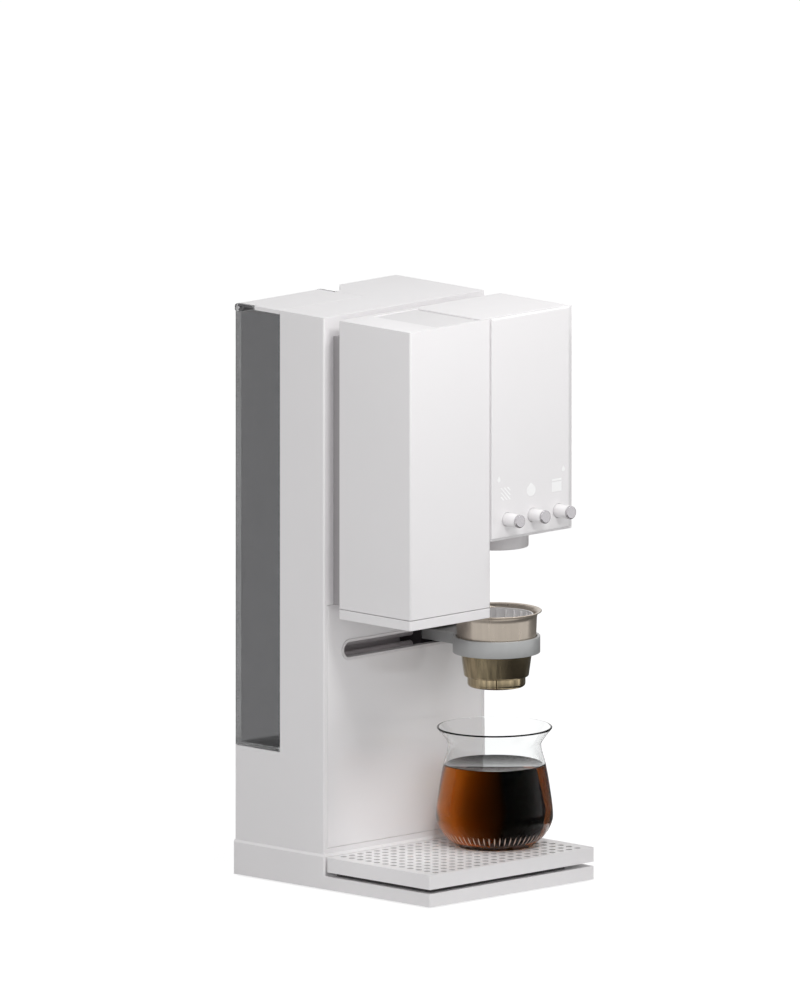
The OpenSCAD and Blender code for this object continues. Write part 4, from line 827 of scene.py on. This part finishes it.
def make_card(name, mesh, place, rays, direction, fade, levels, walls=0):
    """A stage card that only some rays see, lit from one level to another along a direction.

    Rays see it once they went through that number of clear surfaces.
    """
    card = put(name, mesh)
    card.location = place
    for ray in ("camera", "diffuse", "glossy", "transmission", "volume_scatter", "shadow"):
        setattr(card, "visible_" + ray, ray == rays)
    material, tree = bare(name)
    along = add(tree, "VectorMath", {1: direction}, operation="DOT_PRODUCT")
    tree.links.new(add(tree, "TexCoord").outputs["Object"], along.inputs[0])
    level = add(tree, "MapRange", {
        "From Min": fade[0], "From Max": fade[1], "To Min": levels[0], "To Max": levels[1],
    })
    tree.links.new(along.outputs["Value"], level.inputs["Value"])
    glow = add(tree, "Emission")
    tree.links.new(level.outputs["Result"], glow.inputs["Strength"])
    deep = add(tree, "Math", {1: walls - 0.5}, operation="GREATER_THAN")
    tree.links.new(add(tree, "LightPath").outputs["Transmission Depth"], deep.inputs[0])
    shown = add(tree, "MixShader")
    tree.links.new(deep.outputs[0], shown.inputs[0])
    tree.links.new(add(tree, "BsdfTransparent").outputs[0], shown.inputs[1])
    tree.links.new(glow.outputs[0], shown.inputs[2])
    show(tree, shown)
    paint(card, material)


def make_flag():
    """The dark ring on the floor."""
    mesh = bmesh.new()
    inner, outer = (
        [mesh.verts.new((radius * math.cos(a), radius * math.sin(a), 0)) for a in turns(FLAG_STEPS)]
        for radius in (FLAG_INNER, FLAG_OUTER)
    )
    bridge(mesh, outer, inner)
    to_right = (math.cos(VIEW_AZIMUTH), math.sin(VIEW_AZIMUTH), 0)
    make_card("flag", mesh, FLAG_CENTRE, "glossy", to_right, (-FLAG_FADE, FLAG_FADE), (FLAG_LEFT, FLAG_RIGHT))


def make_side_flag():
    """The dark card at the right."""
    mesh = bmesh.new()
    upright = rectangle(SIDE_FLAG_Y[0], 0, SIDE_FLAG_Y[1], SIDE_FLAG_TOP)
    mesh.faces.new([mesh.verts.new((0, y, z)) for y, z in upright])
    place = Vector((SIDE_FLAG_X, 0, 0))
    levels = (SIDE_FLAG_LEVEL, SIDE_FLAG_LEVEL)
    make_card("side_flag", mesh, place, "glossy", (0, 0, 1), (0, SIDE_FLAG_TOP), levels)


def make_backing():
    """The white card behind the coffee, in an upright and a flat part."""
    mesh = bmesh.new()
    upright = [(x, 0, z) for x, z in rectangle(BACKING_X[0], 0, BACKING_X[1], BACKING_TOP)]
    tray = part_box("carafe")[0].z + TRAY_CARD_ABOVE
    flat = [(x * MM, y * MM - BACKING_Y, tray) for x, y in TRAY_CARD]
    for sheet in (upright, flat):
        mesh.faces.new([mesh.verts.new(corner) for corner in sheet])
    place = Vector((0, BACKING_Y, 0))
    make_card("backing", mesh, place, "transmission", (1, 0, 0), BACKING_FADE, (0.0, 1.0), BACKING_WALLS)


def aimed(name, data, place, direction):
    """A lamp or camera at its place, turned to a direction."""
    holder = bpy.data.objects.new(name, data)
    holder.location = place
    holder.rotation_mode = "QUATERNION"
    holder.rotation_quaternion = direction.to_track_quat("-Z", "Y")
    bpy.context.scene.collection.objects.link(holder)
    return holder


def make_lamp(name, place, size, power):
    lamp = bpy.data.lights.new(name, "AREA")
    lamp.energy = power
    lamp.shape = "DISK"
    lamp.size = size
    holder = aimed(name, lamp, place, LAMP_AIM - place)
    holder.visible_camera = False


def make_beam(name, place, aim, power, width):
    lamp = bpy.data.lights.new(name, "SPOT")
    lamp.energy = power
    lamp.spot_size = width
    lamp.spot_blend = 1.0
    lamp.shadow_soft_size = BEAM_SIZE
    holder = aimed(name, lamp, place, aim - place)
    holder.visible_camera = False
    holder.visible_glossy = False


def make_camera():
    """The camera of the photograph's view."""
    turn, rise = VIEW_AZIMUTH, VIEW_ELEVATION
    back = Vector((math.sin(turn) * math.cos(rise), -math.cos(turn) * math.cos(rise), math.sin(rise)))
    right = Vector((math.cos(turn), math.sin(turn), 0))
    up = back.cross(right)
    camera = bpy.data.cameras.new("camera")
    camera.type = "ORTHO"
    camera.ortho_scale = VIEW_HEIGHT
    camera.clip_end = CAMERA_REACH
    place = right * VIEW_SHIFT_RIGHT + up * VIEW_SHIFT_UP + back * CAMERA_DISTANCE
    bpy.context.scene.camera = aimed("camera", camera, place, -back)


make_world()
make_floor()
make_flag()
make_side_flag()
make_backing()
make_lamp("left_lamp", *LEFT_LAMP)
make_lamp("right_lamp", *RIGHT_LAMP)
make_beam("panel_beam", *PANEL_BEAM)
make_beam("tray_beam", *TRAY_BEAM)
make_beam("slot_beam", *SLOT_BEAM)
make_camera()
bpy.context.scene.view_settings.view_transform = "Standard"
